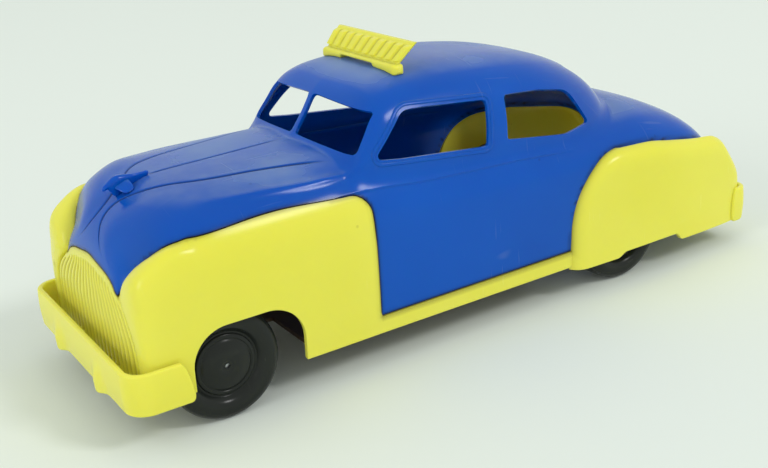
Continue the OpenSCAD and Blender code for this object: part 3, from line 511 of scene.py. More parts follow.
def fender_skin(place):
    """Left front fender and sill: the larger of the body's and the crest's reach from the crest's foot.

    Below the foot the outer wall goes down with the sill's tuck. Ahead of the nose the section closes.
    """
    s, w = place[:, 0], np.clip(place[:, 1], 0, 1)
    st = np.clip(s, TAIL, NOSE)
    angle, r, _, z = crest_point(st, w)
    reach = body_reach(st, np.minimum(angle, RAY_LIMIT))
    both = np.where(reach > 0, smooth_max(reach, r, FENDER_BLEND), r)
    inner_wall = w > INNER_END
    both = np.where(inner_wall, r, both)
    y0, z0 = crest_mid(st), crest_base(st)
    y = y0 + both * np.cos(angle)
    z = np.where(inner_wall, z, z0 + both * np.sin(angle))
    u = np.clip(1 - w / WALL_END, 0, 1)
    y = y - SILL_TUCK * u * u
    z = np.where(u > 0, z0 - (z0 - SILL_BOTTOM) * u, z)
    close = np.clip(1 - (s - NOSE) / NOSE_CLOSE, 0, 1)
    y = y0 + (y - y0) * close
    ribs = np.where(w > OUTER_END, rib_groove(y, z), 0) * smoothstep(*RIB_START, st)
    return points(swept(st, y) - RIB_DEPTH * ribs, spread(y, z, smoothstep(*SPREAD_START, st)), z)


# Rear fenders.
ROOT_SHARE = 0.25
EDGE_SQUARE = 2.4
BODY_NEAR = FENDER_ROOT - 6.4
TAIL_INSET = 7
TAIL_BULGE = 0.5
SHELF_SINK = 0.6
SHELF_OUT = FENDER_ROOT + 2
SHELF_IN = FENDER_ROOT - 8
SKIRT_SPARE = 1
CORNER_BLEND = 1.0
CORNER_LIFT = 0.25


def fender_edge(x):
    """Height of the rear fender's edge: a quarter ellipse in front, a falling curve behind its crest."""
    ahead = np.clip((x - FENDER_CREST) / FENDER_RUN, 0, 1)
    front = FENDER_FOOT + FENDER_RISE * np.sqrt(1 - ahead ** 2)
    return np.where(x > FENDER_CREST, front, fender_back(x))


def body_half(s, z):
    """Half width of the section at station s and height z, at least BODY_NEAR."""
    return halved(lambda y: outside_body(s, y, z) < 0, np.full_like(s, BODY_NEAR),
                  np.full_like(s, SKIN_FAR), turns=22)


def rear_fender_skin(place):
    """Left rear fender: columns x, rows v from the skirt to the edge, rounded within FENDER_ROUND of it.

    Rows past 1 fall at SHELF_SLOPE from the edge into the body's side. Behind the tail the columns close
    inward and fall at the same slope.
    """
    x, v = place[:, 0], np.clip(place[:, 1], 0, 1)
    st = np.clip(x, TAIL, REAR_FENDER_X)
    low = REAR_SKIRT - SKIRT_SPARE
    z = low + (fender_edge(st) - low) * v
    fall = 1 - np.sqrt(np.maximum(1 - (np.maximum(z - FENDER_FOOT, 0) / FENDER_RISE) ** 2, 0))
    from_front = REAR_FENDER_X - st - FENDER_RUN * fall
    from_top = fender_edge(st) - z
    inward = -smooth_max(-from_front, -from_top, CORNER_BLEND) + CORNER_LIFT
    t = np.clip(inward / FENDER_ROUND, 0, 1)
    lift = (1 - (1 - t) ** EDGE_SQUARE) ** (1 / EDGE_SQUARE)
    outer = FENDER_ROOT + (fender_y(st) - FENDER_ROOT) * (ROOT_SHARE + (1 - ROOT_SHARE) * lift)
    close = np.clip(TAIL - x, 0, TAIL_CLOSE) / TAIL_CLOSE
    y = outer - (outer - FENDER_ROOT + TAIL_INSET) * close
    z = z - SHELF_SLOPE * (outer - y) * np.clip(2 * v - 1, 0, 1)
    shelf = np.clip((place[:, 1] - 1) / SHELF_SHARE, 0, 1)
    reach = shelf * np.maximum(y - body_half(st, z) + SHELF_SINK, 0)
    return points(st - TAIL_BULGE * np.sqrt(close), y - reach, z - SHELF_SLOPE * reach)


def under_fender(x, y, z):
    """How far a point of the body's side lies below the shelf inside the rear fender's edge."""
    shelf = fender_edge(x) - SHELF_SLOPE * np.maximum(SHELF_OUT - np.abs(y), 0)
    return np.where(np.abs(y) > SHELF_IN, np.minimum(shelf - z, REAR_FENDER_X - x), -CLEAR)


def skirt_line(x):
    """Height of the lower edge behind the doors, lifted over the wheel's middle."""
    at = REAR_AXLE + np.array([-60, -25.2, -22.8, 3.2, 6])
    return np.interp(x, at, REAR_SKIRT + np.array([-0.3, 0, 2.9, 2.9, 1.2]))


# Joints and openings: each gives a distance in millimetres, positive outside.
SEAM_ARCH = FRONT_AXLE - 20.6
ARCH_REACH = 19
FANG_END = HALF_W + 3
SLOPE_STEP = 0.1
SLOPE_LIMIT = 3
HULL_LINES = 128


def rounded_hull(circles):
    """Distance outside the hull of circles (along, up, radius): the furthest of many tangent lines."""
    turn = around(HULL_LINES)
    ways = np.stack([np.cos(turn), np.sin(turn)], axis=1)
    c = np.asarray(circles, float)
    reach = (ways @ c[:, :2].T + c[:, 2]).max(axis=1)
    return lambda a, b: (np.stack([a, b], axis=1) @ ways.T - reach).max(axis=1)


def front_region(x, y, z):
    """Distance outside the front fenders' region: behind the door joint, above hood joint or fang line."""
    back = DOOR_SEAM - x + SEAM_ROUND
    above = z - HOOD_SEAM - SEAM_LIFT * bell(x - SEAM_ARCH, ARCH_REACH) + SEAM_ROUND
    side = np.hypot(np.maximum(back, 0), np.maximum(above, 0)) + np.minimum(np.maximum(back, above), 0)
    a = np.minimum(np.abs(y), FANG_END)
    slope = (fang_line(a + SLOPE_STEP) - fang_line(a - SLOPE_STEP)) / (2 * SLOPE_STEP)
    front = (z - fang_line(a)) / np.sqrt(1 + np.clip(slope, -SLOPE_LIMIT, SLOPE_LIMIT) ** 2)
    return np.maximum(side - SEAM_ROUND, front)


def outside_crest(x, y, z):
    """Distance outside the fender crests ahead of the point where they leave the hood's side."""
    a = np.abs(y) - crest_mid(x)
    b = z - crest_base(x)
    free = np.hypot(a, b) - crest_radius(x, np.arctan2(np.maximum(b, 0), a))
    return np.where(x > CREST_START, free, CLEAR)


FRONT_PANE = [(SCREEN_X - 10.4, WINDOW_SILL + 1.8, 1.3), (PILLAR_FRONT + 1.6, WINDOW_SILL - 2.5, 1.2),
              (PILLAR_FRONT - 0.2, WINDOW_TOP - 4.3, 1.2), (SCREEN_X - 23, WINDOW_TOP - 6.6, 6)]
REAR_PANE = [(PILLAR_BACK - 1, WINDOW_SILL - 2.5, 1), (PILLAR_BACK - 2.3, WINDOW_TOP - 4.4, 1),
             (BACKLIGHT_X + 45, WINDOW_TOP - 11.6, 7), (BACKLIGHT_X + 34.6, WINDOW_TOP - 14, 7.2),
             (BACKLIGHT_X + 24.2, WINDOW_SILL - 5.2, 1)]
front_window = rounded_hull(FRONT_PANE)
rear_window = rounded_hull(REAR_PANE)
screen_pane = rounded_hull([(POST_HALF + 1.2, COWL + 2.3, 1.2), (32, COWL + 1, 1.2),
                            (30, ROOF - 9.8, 1.4), (POST_HALF + 1.2, ROOF - 8.2, 1.2)])
back_pane = rounded_hull([(POST_HALF + 1.2, DECK + 6.7, 1.2), (18.6, DECK + 6.9, 1.2),
                          (16.6, ROOF - 14, 1.6), (POST_HALF + 1.2, ROOF - 13.6, 1.2)])
wheel_arch = rounded_hull([(FRONT_AXLE - 0.2, ARCH_TOP - 11.2, 11.2),
                           (FRONT_AXLE - 13.2, ARCH_TOP - 12.1, 12.1),
                           (FRONT_AXLE - 0.2, ARCH_TOP - 41.2, 11.2),
                           (FRONT_AXLE - 13.2, ARCH_TOP - 42.1, 12.1)])

# Nets: a grid of parameters that is cut along lines and then laid on its surface.
SLIDES = 3
SLIDE_REACH = 0.36
SLIDE_LIMIT = 0.4
TILT_STEP = 0.05
ON_LINE = 1e-4
EDGE_TURNS = 14


def grid_net(first, second):
    """Net over two rising rows of parameters: places, local cell sizes, triangles and the held points."""
    a, b = np.meshgrid(first, second, indexing="ij")
    cell_a, cell_b = np.meshgrid(np.gradient(first), np.gradient(second), indexing="ij")
    m, n = len(first), len(second)
    i = np.arange(m * n).reshape(m, n)
    q = np.stack([i[:-1, :-1], i[1:, :-1], i[1:, 1:], i[:-1, 1:]], axis=-1).reshape(-1, 4)
    tri = np.concatenate([q[:, [0, 1, 2]], q[:, [0, 2, 3]]])
    places = np.stack([a.ravel(), b.ravel()], axis=1)
    cells = np.stack([cell_a.ravel(), cell_b.ravel()], axis=1)
    return places, cells, tri, np.zeros(m * n, bool)


def slide_to_line(places, cells, held, distance):
    """Moves free points close to the line where distance is 0 onto it, along its steepest way.

    Close is within SLIDE_REACH of a cell. Each step moves a point by SLIDE_LIMIT of a cell at most.
    """
    d = distance(places)
    close = None
    for _ in range(SLIDES):
        tilt = [distance(places + cells * step) - d for step in ([TILT_STEP, 0], [0, TILT_STEP])]
        tilt = np.stack(tilt, axis=1) / TILT_STEP
        steep = np.maximum((tilt ** 2).sum(axis=1), 1e-9)
        if close is None:
            close = ~held & (np.abs(d) < SLIDE_REACH * np.sqrt(steep))
        move = np.clip(-(d / steep)[:, None] * tilt, -SLIDE_LIMIT, SLIDE_LIMIT) * cells
        places = np.where(close[:, None], places + move, places)
        d = distance(places)
    return places, d, close


def cut_net(net, surface, keep):
    """Keeps the part of a net where keep(surface) is positive.

    Points close to the line slide onto it, crossing triangles are split where their edges meet the line,
    and the points on the line are held in later cuts.
    """
    places, cells, tri, held = net

    def distance(at):
        """What the rule gives at places of the net."""
        return keep(at, surface(at))

    places, d, slid = slide_to_line(places, cells, held, distance)
    on = slid | (np.abs(d) < ON_LINE)
    d = np.where(on, 0, d)
    side = np.sign(d).astype(int)
    corner = side[tri]
    whole = (corner.min(axis=1) >= 0) & (corner.max(axis=1) > 0)
    split = (corner.min(axis=1) < 0) & (corner.max(axis=1) > 0)
    corner = corner[split]
    two_in = (corner > 0).sum(axis=1) == 2
    lone = np.where(two_in, np.argmin(corner, axis=1), np.argmax(corner, axis=1))
    p, q, r = np.take_along_axis(tri[split], (np.arange(3) + lone[:, None]) % 3, axis=1).T
    edges = np.concatenate([np.stack(pair, axis=1) for pair in ((p, q), (q, r), (r, p))])
    edges = edges[side[edges[:, 0]] * side[edges[:, 1]] < 0]
    a, b = np.unique(np.sort(edges, axis=1), axis=0).T
    rising = d[b] > d[a]

    def between(t):
        """Places at a share t of the crossed edges."""
        return places[a] + (places[b] - places[a]) * t[:, None]

    def before_line(t):
        """Whether the line lies beyond a share t of the crossed edges."""
        return (distance(between(t)) > 0) != rising

    t = halved(before_line, np.zeros(len(a)), np.ones(len(a)), EDGE_TURNS) + 0.5 ** (EDGE_TURNS + 1)
    count = len(places)
    key = a * count + b

    def crossing(one, other):
        """Number of the new point on the edge from one point to the other."""
        return count + np.searchsorted(key, np.minimum(one, other) * count + np.maximum(one, other))

    pq, rp = crossing(p, q), crossing(r, p)
    tip = np.stack([p, np.where(side[q] < 0, pq, q), np.where(side[r] < 0, rp, r)], axis=1)
    tri = np.concatenate([tri[whole], np.stack([pq, q, r], axis=1)[two_in],
                          np.stack([pq, r, rp], axis=1)[two_in], tip[~two_in]])
    cells = np.concatenate([cells, (cells[a] + cells[b]) / 2])
    held = np.concatenate([held | on, np.ones(len(a), bool)])
    used, tri = np.unique(tri, return_inverse=True)
    return np.concatenate([places, between(t)])[used], cells[used], tri.reshape(-1, 3), held[used]


def trimmed(surface, first, second, *rules):
    """Places, points and triangles of a surface over two rows of parameters, cut by each rule in turn."""
    net = grid_net(first, second)
    for rule in rules:
        net = cut_net(net, surface, rule)
    return net[0], surface(net[0]), net[2]


# Surfaces: points and triangles.


def outward(at, tri):
    """Turns a closed surface's faces outward, by the sign of the volume they enclose."""
    a, b, c = at[tri[:, 0]], at[tri[:, 1]], at[tri[:, 2]]
    volume = np.einsum("ij,ij->i", a, np.cross(b, c)).sum()
    return at, tri if volume > 0 else tri[:, ::-1]


def both_sides(at, tri):
    """A surface and its mirror image across the car's middle plane, faces turned to stay outward."""
    return np.concatenate([at, at * np.array([1, -1, 1])]), np.concatenate([tri, tri[:, ::-1] + len(at)])


def turned_about(at, tri):
    """The same surface turned half round the upright axis."""
    return at * np.array([-1, -1, 1]), tri


def joined(*parts):
    """Several surfaces as one."""
    starts = np.cumsum([0] + [len(at) for at, _ in parts[:-1]])
    at = np.concatenate([at for at, _ in parts])
    return at, np.concatenate([tri + start for (_, tri), start in zip(parts, starts)])


def closed_tube(rows):
    """Skin of closed sections rows[i, j]: quads between neighbours, ends fanned to their middles."""
    m, n = rows.shape[:2]
    i = np.arange(m * n).reshape(m, n)
    after = np.roll(i, -1, axis=1)
    quad = np.stack([i[:-1], i[1:], after[1:], after[:-1]], axis=-1).reshape(-1, 4)
    ends = np.stack([rows[0].mean(axis=0), rows[-1].mean(axis=0)])
    first = np.stack([i[0], after[0], np.full(n, m * n)], axis=1)
    last = np.stack([after[-1], i[-1], np.full(n, m * n + 1)], axis=1)
    tri = np.concatenate([quad[:, [0, 1, 2]], quad[:, [0, 2, 3]], first, last])
    return outward(np.concatenate([rows.reshape(-1, 3), ends]), tri)


def ring_tube(rows):
    """Skin of closed sections that also close on themselves round an axis."""
    m, n = rows.shape[:2]
    i = np.arange(m * n).reshape(m, n)
    ahead = np.roll(i, -1, axis=0)
    quad = np.stack([i, ahead, np.roll(ahead, -1, axis=1), np.roll(i, -1, axis=1)], axis=-1).reshape(-1, 4)
    return outward(rows.reshape(-1, 3), np.concatenate([quad[:, [0, 1, 2]], quad[:, [0, 2, 3]]]))


def rounded_outline(corners, cuts, steps=6):
    """Outlines from corners [..., corner, 2]: each becomes a parabola that starts its cut before it."""
    c = np.asarray(corners, float)
    cut = np.asarray(cuts, float)[:, None]
    back, ahead = np.roll(c, 1, axis=-2) - c, np.roll(c, -1, axis=-2) - c
    back_long = np.linalg.norm(back, axis=-1, keepdims=True)
    ahead_long = np.linalg.norm(ahead, axis=-1, keepdims=True)
    start = c + back * np.minimum(cut / back_long, 0.49)
    end = c + ahead * np.minimum(cut / ahead_long, 0.49)
    t = np.linspace(0, 1, steps)[:, None]
    c, start, end = c[..., None, :], start[..., None, :], end[..., None, :]
    curve = (1 - t) ** 2 * start + 2 * t * (1 - t) * c + t ** 2 * end
    return curve.reshape(*curve.shape[:-3], -1, 2)


def corner_rows(row, *pairs):
    """Corners [row, corner, 2] from pairs (depth, height), each value one for all rows or one per row."""
    filled = [[np.broadcast_to(value, row.shape) for value in pair] for pair in pairs]
    return np.stack([np.stack(pair, axis=-1) for pair in filled], axis=1)


def round_end(distance, reach):
    """Share left of a section at a distance from its end: a squared quarter circle over reach."""
    return np.maximum(1 - (1 - np.clip(distance / reach, 0, 1)) ** EDGE_SQUARE, 0) ** (1 / EDGE_SQUARE)


# Pieces.
BEVEL_STEPS = 2
BEVEL_ANGLE = 55
GRIME_REACH = 0.4


def seam_grime(distance):
    """Grime beside a joint: full on the line, gone within a few tenths of a millimetre on either side."""
    return np.exp(-np.abs(distance) / GRIME_REACH)


def on_rim(mesh, tri):
    """For each edge of a mesh, whether only one triangle uses it."""
    weights = np.array([len(mesh.vertices), 1])
    ends = np.empty(len(mesh.edges) * 2, np.int32)
    mesh.edges.foreach_get("vertices", ends)
    ends = np.sort(ends.reshape(-1, 2), axis=1) @ weights
    sides = np.concatenate([tri[:, [0, 1]], tri[:, [1, 2]], tri[:, [2, 0]]])
    found, uses = np.unique(np.sort(sides, axis=1) @ weights, return_counts=True)
    return uses[np.searchsorted(found, ends)] == 1


def put(name, surface, material, node, body="body", wall=0.0, edge=0.0, grime_and_shade=None):
    """Makes a surface in millimetres a piece in its place, with wall, edge rounding and a per-point
    darkening: grime along joints and painted shade in grooves.
    """
    at, tri = surface
    mesh = bpy.data.meshes.new(name)
    mesh.vertices.add(len(at))
    mesh.vertices.foreach_set("co", (at * MM).astype(np.float32).ravel())
    mesh.loops.add(tri.size)
    mesh.loops.foreach_set("vertex_index", tri.astype(np.int32).ravel())
    mesh.polygons.add(len(tri))
    mesh.polygons.foreach_set("loop_start", np.arange(0, tri.size, 3, dtype=np.int32))
    mesh.update(calc_edges=True)
    mesh.polygons.foreach_set("use_smooth", np.ones(len(tri), bool))
    if wall:
        mesh.edges.foreach_set("use_edge_sharp", on_rim(mesh, tri))
    # Per-point darkening: grime along joints, and painted shade in pressed lines, rib grooves and between
    # the sign's bars.
    if grime_and_shade is not None:
        marks = mesh.attributes.new("grime_and_shade", "FLOAT", "POINT")
        marks.data.foreach_set("value", grime_and_shade.astype(np.float32))
    mesh.validate()
    mesh.materials.append(material)
    piece = bpy.data.objects.new(name, mesh)
    bpy.context.scene.collection.objects.link(piece)
    if wall:
        solid = piece.modifiers.new("wall", "SOLIDIFY")
        solid.thickness = wall * MM
        solid.offset = -1
    if edge:
        bevel = piece.modifiers.new("edge", "BEVEL")
        bevel.width = edge * MM
        bevel.segments = BEVEL_STEPS
        bevel.limit_method = "ANGLE"
        bevel.angle_limit = np.radians(BEVEL_ANGLE)
        bevel.harden_normals = True
    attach(piece, body)
    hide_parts(node)
    return piece


# Finishes.
GLOSS = 0.22
SCRATCH_PALE = 0.5
SCRATCH_DULL = 0.25
SCRATCH_DEPTH = 0.4
BLOOM_DULL = 0.35
TONE_DULL = 0.05
RELIEF_DEPTH = 0.0002
FINE_SHARE = 0.35
# Scratches: turn and stretch of the noise for each direction, its edge, and the patches they lie in.
SCRATCHES = (((0.2, 0.5, 0.7), (900, 30, 60)), ((0.9, 0.3, -0.6), (40, 800, 70)))
SCRATCH_EDGE = (0.665, 0.72)
SCRATCH_PATCH = (0.45, 0.65)
# Specks: edge of each dot, and the share of cells that hold one.
SPECK_EDGE = (0.10, 0.05)
SPECK_RARE = (0.93, 0.96)
# Dust and painted sheen: how far faces look up, the clouds that break it, and the two tones of the colour.
DUST_SHEEN_UP = (0.86, 1.0)
DUST_SHEEN_CLOUD = (0.25, 0.75)
TONE_EDGE = (0.3, 0.7)


def srgb(*code):
    """Linear colour of an 8-bit display colour."""
    c = np.array(code) / 255
    linear = np.where(c <= 0.04045, c / 12.92, ((c + 0.055) / 1.055) ** 2.4)
    return tuple(float(v) for v in linear) + (1.0,)


def node_in(tree, kind, inputs=None, **settings):
    """A node of that kind with its settings; inputs maps socket names to values or to output sockets."""
    node = tree.nodes.new(kind)
    for key, value in settings.items():
        setattr(node, key, value)
    for key, value in (inputs or {}).items():
        socket = node.inputs[key]
        if isinstance(value, bpy.types.NodeSocket):
            tree.links.new(value, socket)
        else:
            socket.default_value = value
    return node


def maths(tree, operation, a, b=0.0):
    """Output of a maths node."""
    return node_in(tree, "ShaderNodeMath", {0: a, 1: b}, operation=operation).outputs[0]


def times(tree, a, b):
    """Product of two values."""
    return maths(tree, "MULTIPLY", a, b)


def noise(tree, place, scale, detail):
    """Value of a noise of that scale and detail."""
    node = node_in(tree, "ShaderNodeTexNoise", {"Vector": place, "Scale": scale, "Detail": detail})
    return node.outputs["Fac"]


def ramp(tree, value, low, high):
    """Soft step of a value from 0 at low to 1 at high."""
    node = node_in(tree, "ShaderNodeMapRange", {"Value": value, "From Min": low, "From Max": high},
                   interpolation_type="SMOOTHSTEP")
    return node.outputs["Result"]


def mixed(tree, share, a, b):
    """Colour a changed to b by a share."""
    node = node_in(tree, "ShaderNodeMix", {"Factor": share, "A": a, "B": b}, data_type="RGBA")
    return node.outputs["Result"]


def new_group(name, given, given_value, *outs):
    """An empty shader group with one input value and named output values.

    Gives its tree, the input's socket, the object's coordinates and the sockets of its output node.
    """
    tree = bpy.data.node_groups.new(name, "ShaderNodeTree")
    socket = tree.interface.new_socket(given, in_out="INPUT", socket_type="NodeSocketFloat")
    socket.default_value = given_value
    for label in outs:
        tree.interface.new_socket(label, in_out="OUTPUT", socket_type="NodeSocketFloat")
    source = tree.nodes.new("NodeGroupInput").outputs[given]
    place = node_in(tree, "ShaderNodeTexCoord").outputs["Object"]
    return tree, source, place, tree.nodes.new("NodeGroupOutput").inputs


def scuff_group():
    """Fine scratches in two directions and small specks, each a mask from stretched noise or cells."""
    tree, amount, place, target = new_group("scuffs", "Amount", 0.5, "Scratches", "Specks")
    lines = []
    for turn, stretch in SCRATCHES:
        bent = node_in(tree, "ShaderNodeMapping", {"Vector": place, "Rotation": turn, "Scale": stretch})
        lines.append(ramp(tree, noise(tree, bent.outputs[0], 1.0, 2.0), *SCRATCH_EDGE))
    where = ramp(tree, noise(tree, place, 45.0, 3.0), *SCRATCH_PATCH)
    scratched = times(tree, maths(tree, "MAXIMUM", *lines), where)
    cells = node_in(tree, "ShaderNodeTexVoronoi", {"Vector": place, "Scale": 150.0})
    dot = ramp(tree, cells.outputs["Distance"], *SPECK_EDGE)
    chosen = node_in(tree, "ShaderNodeSeparateColor", {"Color": cells.outputs["Color"]})
    rare = ramp(tree, chosen.outputs["Red"], *SPECK_RARE)
    tree.links.new(times(tree, scratched, amount), target["Scratches"])
    tree.links.new(times(tree, times(tree, dot, rare), amount), target["Specks"])
    return tree


def dust_and_sheen_group():
    """Dust and painted sheen on faces that look up, paler and duller, broken by noise, and a broad change
    of tone.
    """
    tree, amount, place, target = new_group("dust_and_sheen", "Amount", 0.3, "Mask", "Tone")
    normal = node_in(tree, "ShaderNodeNewGeometry").outputs["Normal"]
    facing = node_in(tree, "ShaderNodeSeparateXYZ", {0: normal})
    up = ramp(tree, facing.outputs["Z"], *DUST_SHEEN_UP)
    cloud = ramp(tree, noise(tree, place, 30.0, 4.0), *DUST_SHEEN_CLOUD)
    tree.links.new(times(tree, times(tree, up, cloud), amount), target["Mask"])
    tree.links.new(ramp(tree, noise(tree, place, 14.0, 3.0), *TONE_EDGE), target["Tone"])
    return tree


def grain_group():
    """Very fine surface unevenness: two noises of different size added."""
    tree, scale, place, target = new_group("grain", "Scale", 300.0, "Height")
    fine = times(tree, noise(tree, place, scale, 2.0), FINE_SHARE)
    tree.links.new(maths(tree, "ADD", fine, noise(tree, place, 55.0, 1.0)), target["Height"])
    return tree


SCUFFS = scuff_group()
DUST_SHEEN_GROUP = dust_and_sheen_group()
GRAIN = grain_group()


def finish_material(name, colour, deep, worn_and_sheen, speck_and_shade, rough, scuff, dust_and_sheen, bump, metal=0.0, grain=300.0,
                    through=0.0, depth=(1.0, 1.0, 1.0)):
    """Moulded or drawn surface: two tones of colour, dust with painted sheen on faces that look up,
    scratches, specks, grime along joints with painted shade in grooves, and fine grain.

    A share of the light, through, enters the wall and spreads by depth, in wall thicknesses per colour.
    """
    material = bpy.data.materials.new(name)
    material.use_nodes = True
    tree = material.node_tree
    tree.nodes.clear()
    shader = node_in(tree, "ShaderNodeBsdfPrincipled",
                     {"Metallic": metal, "Specular IOR Level": GLOSS, "Subsurface Weight": through,
                      "Subsurface Radius": depth, "Subsurface Scale": WALL * MM})
    out = tree.nodes.new("ShaderNodeOutputMaterial")
    tree.links.new(shader.outputs[0], out.inputs["Surface"])
    marks = node_in(tree, "ShaderNodeGroup", {"Amount": scuff}, node_tree=SCUFFS).outputs
    dust_sheen_out = node_in(tree, "ShaderNodeGroup", {"Amount": dust_and_sheen}, node_tree=DUST_SHEEN_GROUP).outputs
    fine = node_in(tree, "ShaderNodeGroup", {"Scale": grain}, node_tree=GRAIN).outputs
    joint = node_in(tree, "ShaderNodeAttribute", attribute_name="grime_and_shade").outputs
    base = mixed(tree, dust_sheen_out["Tone"], deep, colour)
    # Faces that look up turn pale: dust, and a painted sheen standing in for the reflection of the bright
    # surroundings.
    base = mixed(tree, dust_sheen_out["Mask"], base, worn_and_sheen)
    base = mixed(tree, times(tree, marks["Scratches"], SCRATCH_PALE), base, worn_and_sheen)
    base = mixed(tree, marks["Specks"], base, speck_and_shade)
    # Darkens towards the dark colour by the per-point attribute: grime along joints and painted shade in
    # grooves.
    base = mixed(tree, joint["Fac"], base, speck_and_shade)
    tree.links.new(base, shader.inputs["Base Color"])
    dull = maths(tree, "ADD", times(tree, marks["Scratches"], SCRATCH_DULL),
                 times(tree, dust_sheen_out["Mask"], BLOOM_DULL))
    uneven = maths(tree, "ADD", times(tree, dust_sheen_out["Tone"], TONE_DULL), rough)
    tree.links.new(maths(tree, "ADD", uneven, dull), shader.inputs["Roughness"])
    height = maths(tree, "SUBTRACT", fine["Height"], times(tree, marks["Scratches"], SCRATCH_DEPTH))
    relief = node_in(tree, "ShaderNodeBump", {"Height": height, "Distance": RELIEF_DEPTH, "Strength": bump})
    tree.links.new(relief.outputs[0], shader.inputs["Normal"])
    return material


# Third colour: pale wear in scratches, and dust with painted sheen on faces that look up. Fifth: specks,
# grime along joints and painted shade in grooves.
BLUE = finish_material("blue_plastic", srgb(0, 86, 190), srgb(0, 78, 178), srgb(140, 162, 190),
                       srgb(8, 18, 40), rough=0.17, scuff=0.22, dust_and_sheen=0.55, bump=0.08, through=0.35,
                       depth=(0.2, 0.5, 1.6))
YELLOW = finish_material("yellow_plastic", srgb(238, 232, 92), srgb(233, 227, 80), srgb(240, 238, 160),
                         srgb(96, 82, 22), rough=0.22, scuff=0.18, dust_and_sheen=0.12, bump=0.10, through=0.35,
                         depth=(1.8, 1.4, 0.2))
BLACK = finish_material("black_plastic", srgb(36, 39, 36), srgb(28, 31, 29), srgb(74, 74, 66),
                        srgb(104, 100, 88), rough=0.2, scuff=0.35, dust_and_sheen=0.3, bump=0.2)
# Floor pan in a dark brown that paints in the shade of the hollow behind the front wheels.
DARK_PAN_SHADE = finish_material("dark_pan_shade", srgb(70, 48, 32), srgb(50, 34, 24), srgb(110, 92, 74),
                      srgb(30, 22, 16), rough=0.45, scuff=0.8, dust_and_sheen=0.25, bump=0.4)
STEEL = finish_material("axle_steel", srgb(186, 188, 192), srgb(160, 162, 166), srgb(120, 110, 100),
                        srgb(60, 50, 40), rough=0.3, scuff=0.8, dust_and_sheen=0.1, bump=0.3, metal=1.0, grain=900.0)

# Blue upper moulding. Its rows crowd at the crease and the belt.
SIDE_ZONE = 24
SCREEN_ZONE = 10
# Painted shade along the hood's pressed crease and middle line, as a share of the dark colour.
CREASE_SHADE = 0.7
stations = np.concatenate([np.linspace(TAIL - TAIL_CLOSE, TAIL, 6)[:-1],
                           TAIL + 10 * np.linspace(0, 1, 14)[:-1] ** 2,
                           spaced((TAIL + 10, SCREEN_X - 20, 100), (SCREEN_X - 20, SCREEN_X + 14, 36),
                                  (SCREEN_X + 14, NOSE - 12, 40))[:-1],
                           toward(NOSE - 0.05, 11.95, 52)])
half_row = np.concatenate([[0, 0.004, 0.009, 0.016], spaced((0.025, 0.285, 30)),
                           CROWN_SHARE + np.array([-0.009, -0.005, -0.0025, 0, 0.0025, 0.005, 0.009]),
                           spaced((0.315, BELT_SHARE - 0.02, 26)),
                           BELT_SHARE + np.array([-0.01, -0.006, -0.003, 0, 0.0015, 0.0035, 0.006, 0.01]),
                           spaced((BELT_SHARE + 0.02, SIDE_SHARE, 9), (SIDE_SHARE, 1, 24))])


def above_sill(at, p):
    """Stays above the sill joint."""
    return p[:, 2] - SILL_TOP - SEAM_GAP


def beside_front(at, p):
    """Stays outside the front fenders' region and clear of the crests."""
    return np.minimum(front_region(*p.T) - SEAM_GAP, outside_crest(*p.T) - SEAM_GAP)


def beside_rear_fender(at, p):
    """Stays outside the opening under the rear fender, which laps over it."""
    inside = np.minimum(under_fender(*p.T) - FENDER_LAP, p[:, 0] - TAIL - 3)
    return -np.minimum(inside, np.abs(p[:, 1]) - FENDER_ROOT + TAIL_INSET)


def beside_windows(at, p):
    """Stays outside the side windows."""
    x, y, z = p.T
    return np.where(np.abs(y) > SIDE_ZONE, np.minimum(front_window(x, z), rear_window(x, z)), CLEAR)


def beside_panes(at, p):
    """Stays outside the split windscreen and the split rear window."""
    x, y, z = p.T
    return np.where(x > SCREEN_ZONE, screen_pane(np.abs(y), z), back_pane(np.abs(y), z))


places, shell, faces = trimmed(skin, stations, np.concatenate([-half_row[:0:-1], half_row]), above_sill,
                               beside_front, beside_rear_fender, beside_windows, beside_panes)
joint = np.where(places[:, 0] > TAIL, above_sill(places, shell), CLEAR)
joint = np.minimum(joint, beside_front(places, shell))
joint = np.minimum(np.abs(joint), np.abs(under_fender(*shell.T)))
# Mask of the pressed lines: their painted shade joins the per-point darkening below.
creases = skin_relief(np.clip(places[:, 0], TAIL, NOSE), np.abs(places[:, 1]))[1]
put("blue_moulding", (shell, faces), BLUE, "upper_body", wall=CABIN_WALL, edge=EDGE,
    grime_and_shade=np.maximum(seam_grime(joint), CREASE_SHADE * creases))

# Yellow front fenders with the sills.
ARCH_ZONE = 25
SILL_END = DOOR_SEAM + 8
SILL_SHARE = 0.5
REGION_SHARE = 0.68
REGION_RUN = 60
CREST_FOOT = 40
FENDER_GRIME = 0.6
sill_row = WALL_END * (SILL_TOP - SILL_BOTTOM) / (CREST_FOOT - SILL_BOTTOM)
fender_columns = np.concatenate([spaced((REAR_FENDER_X - 5.7, DOOR_SEAM, 60),
                                        (DOOR_SEAM, NOSE - 12, 56))[:-1],
                                 toward(NOSE, 12, 88), NOSE + np.array([1, 2, 2.9])])
fender_rows = np.concatenate([np.sort(np.append(np.linspace(0, WALL_END, 16), sill_row)),
                              spaced((WALL_END, OUTER_END, 40), (OUTER_END, INNER_END, 26),
                                     (INNER_END, 1, 14))[1:]])


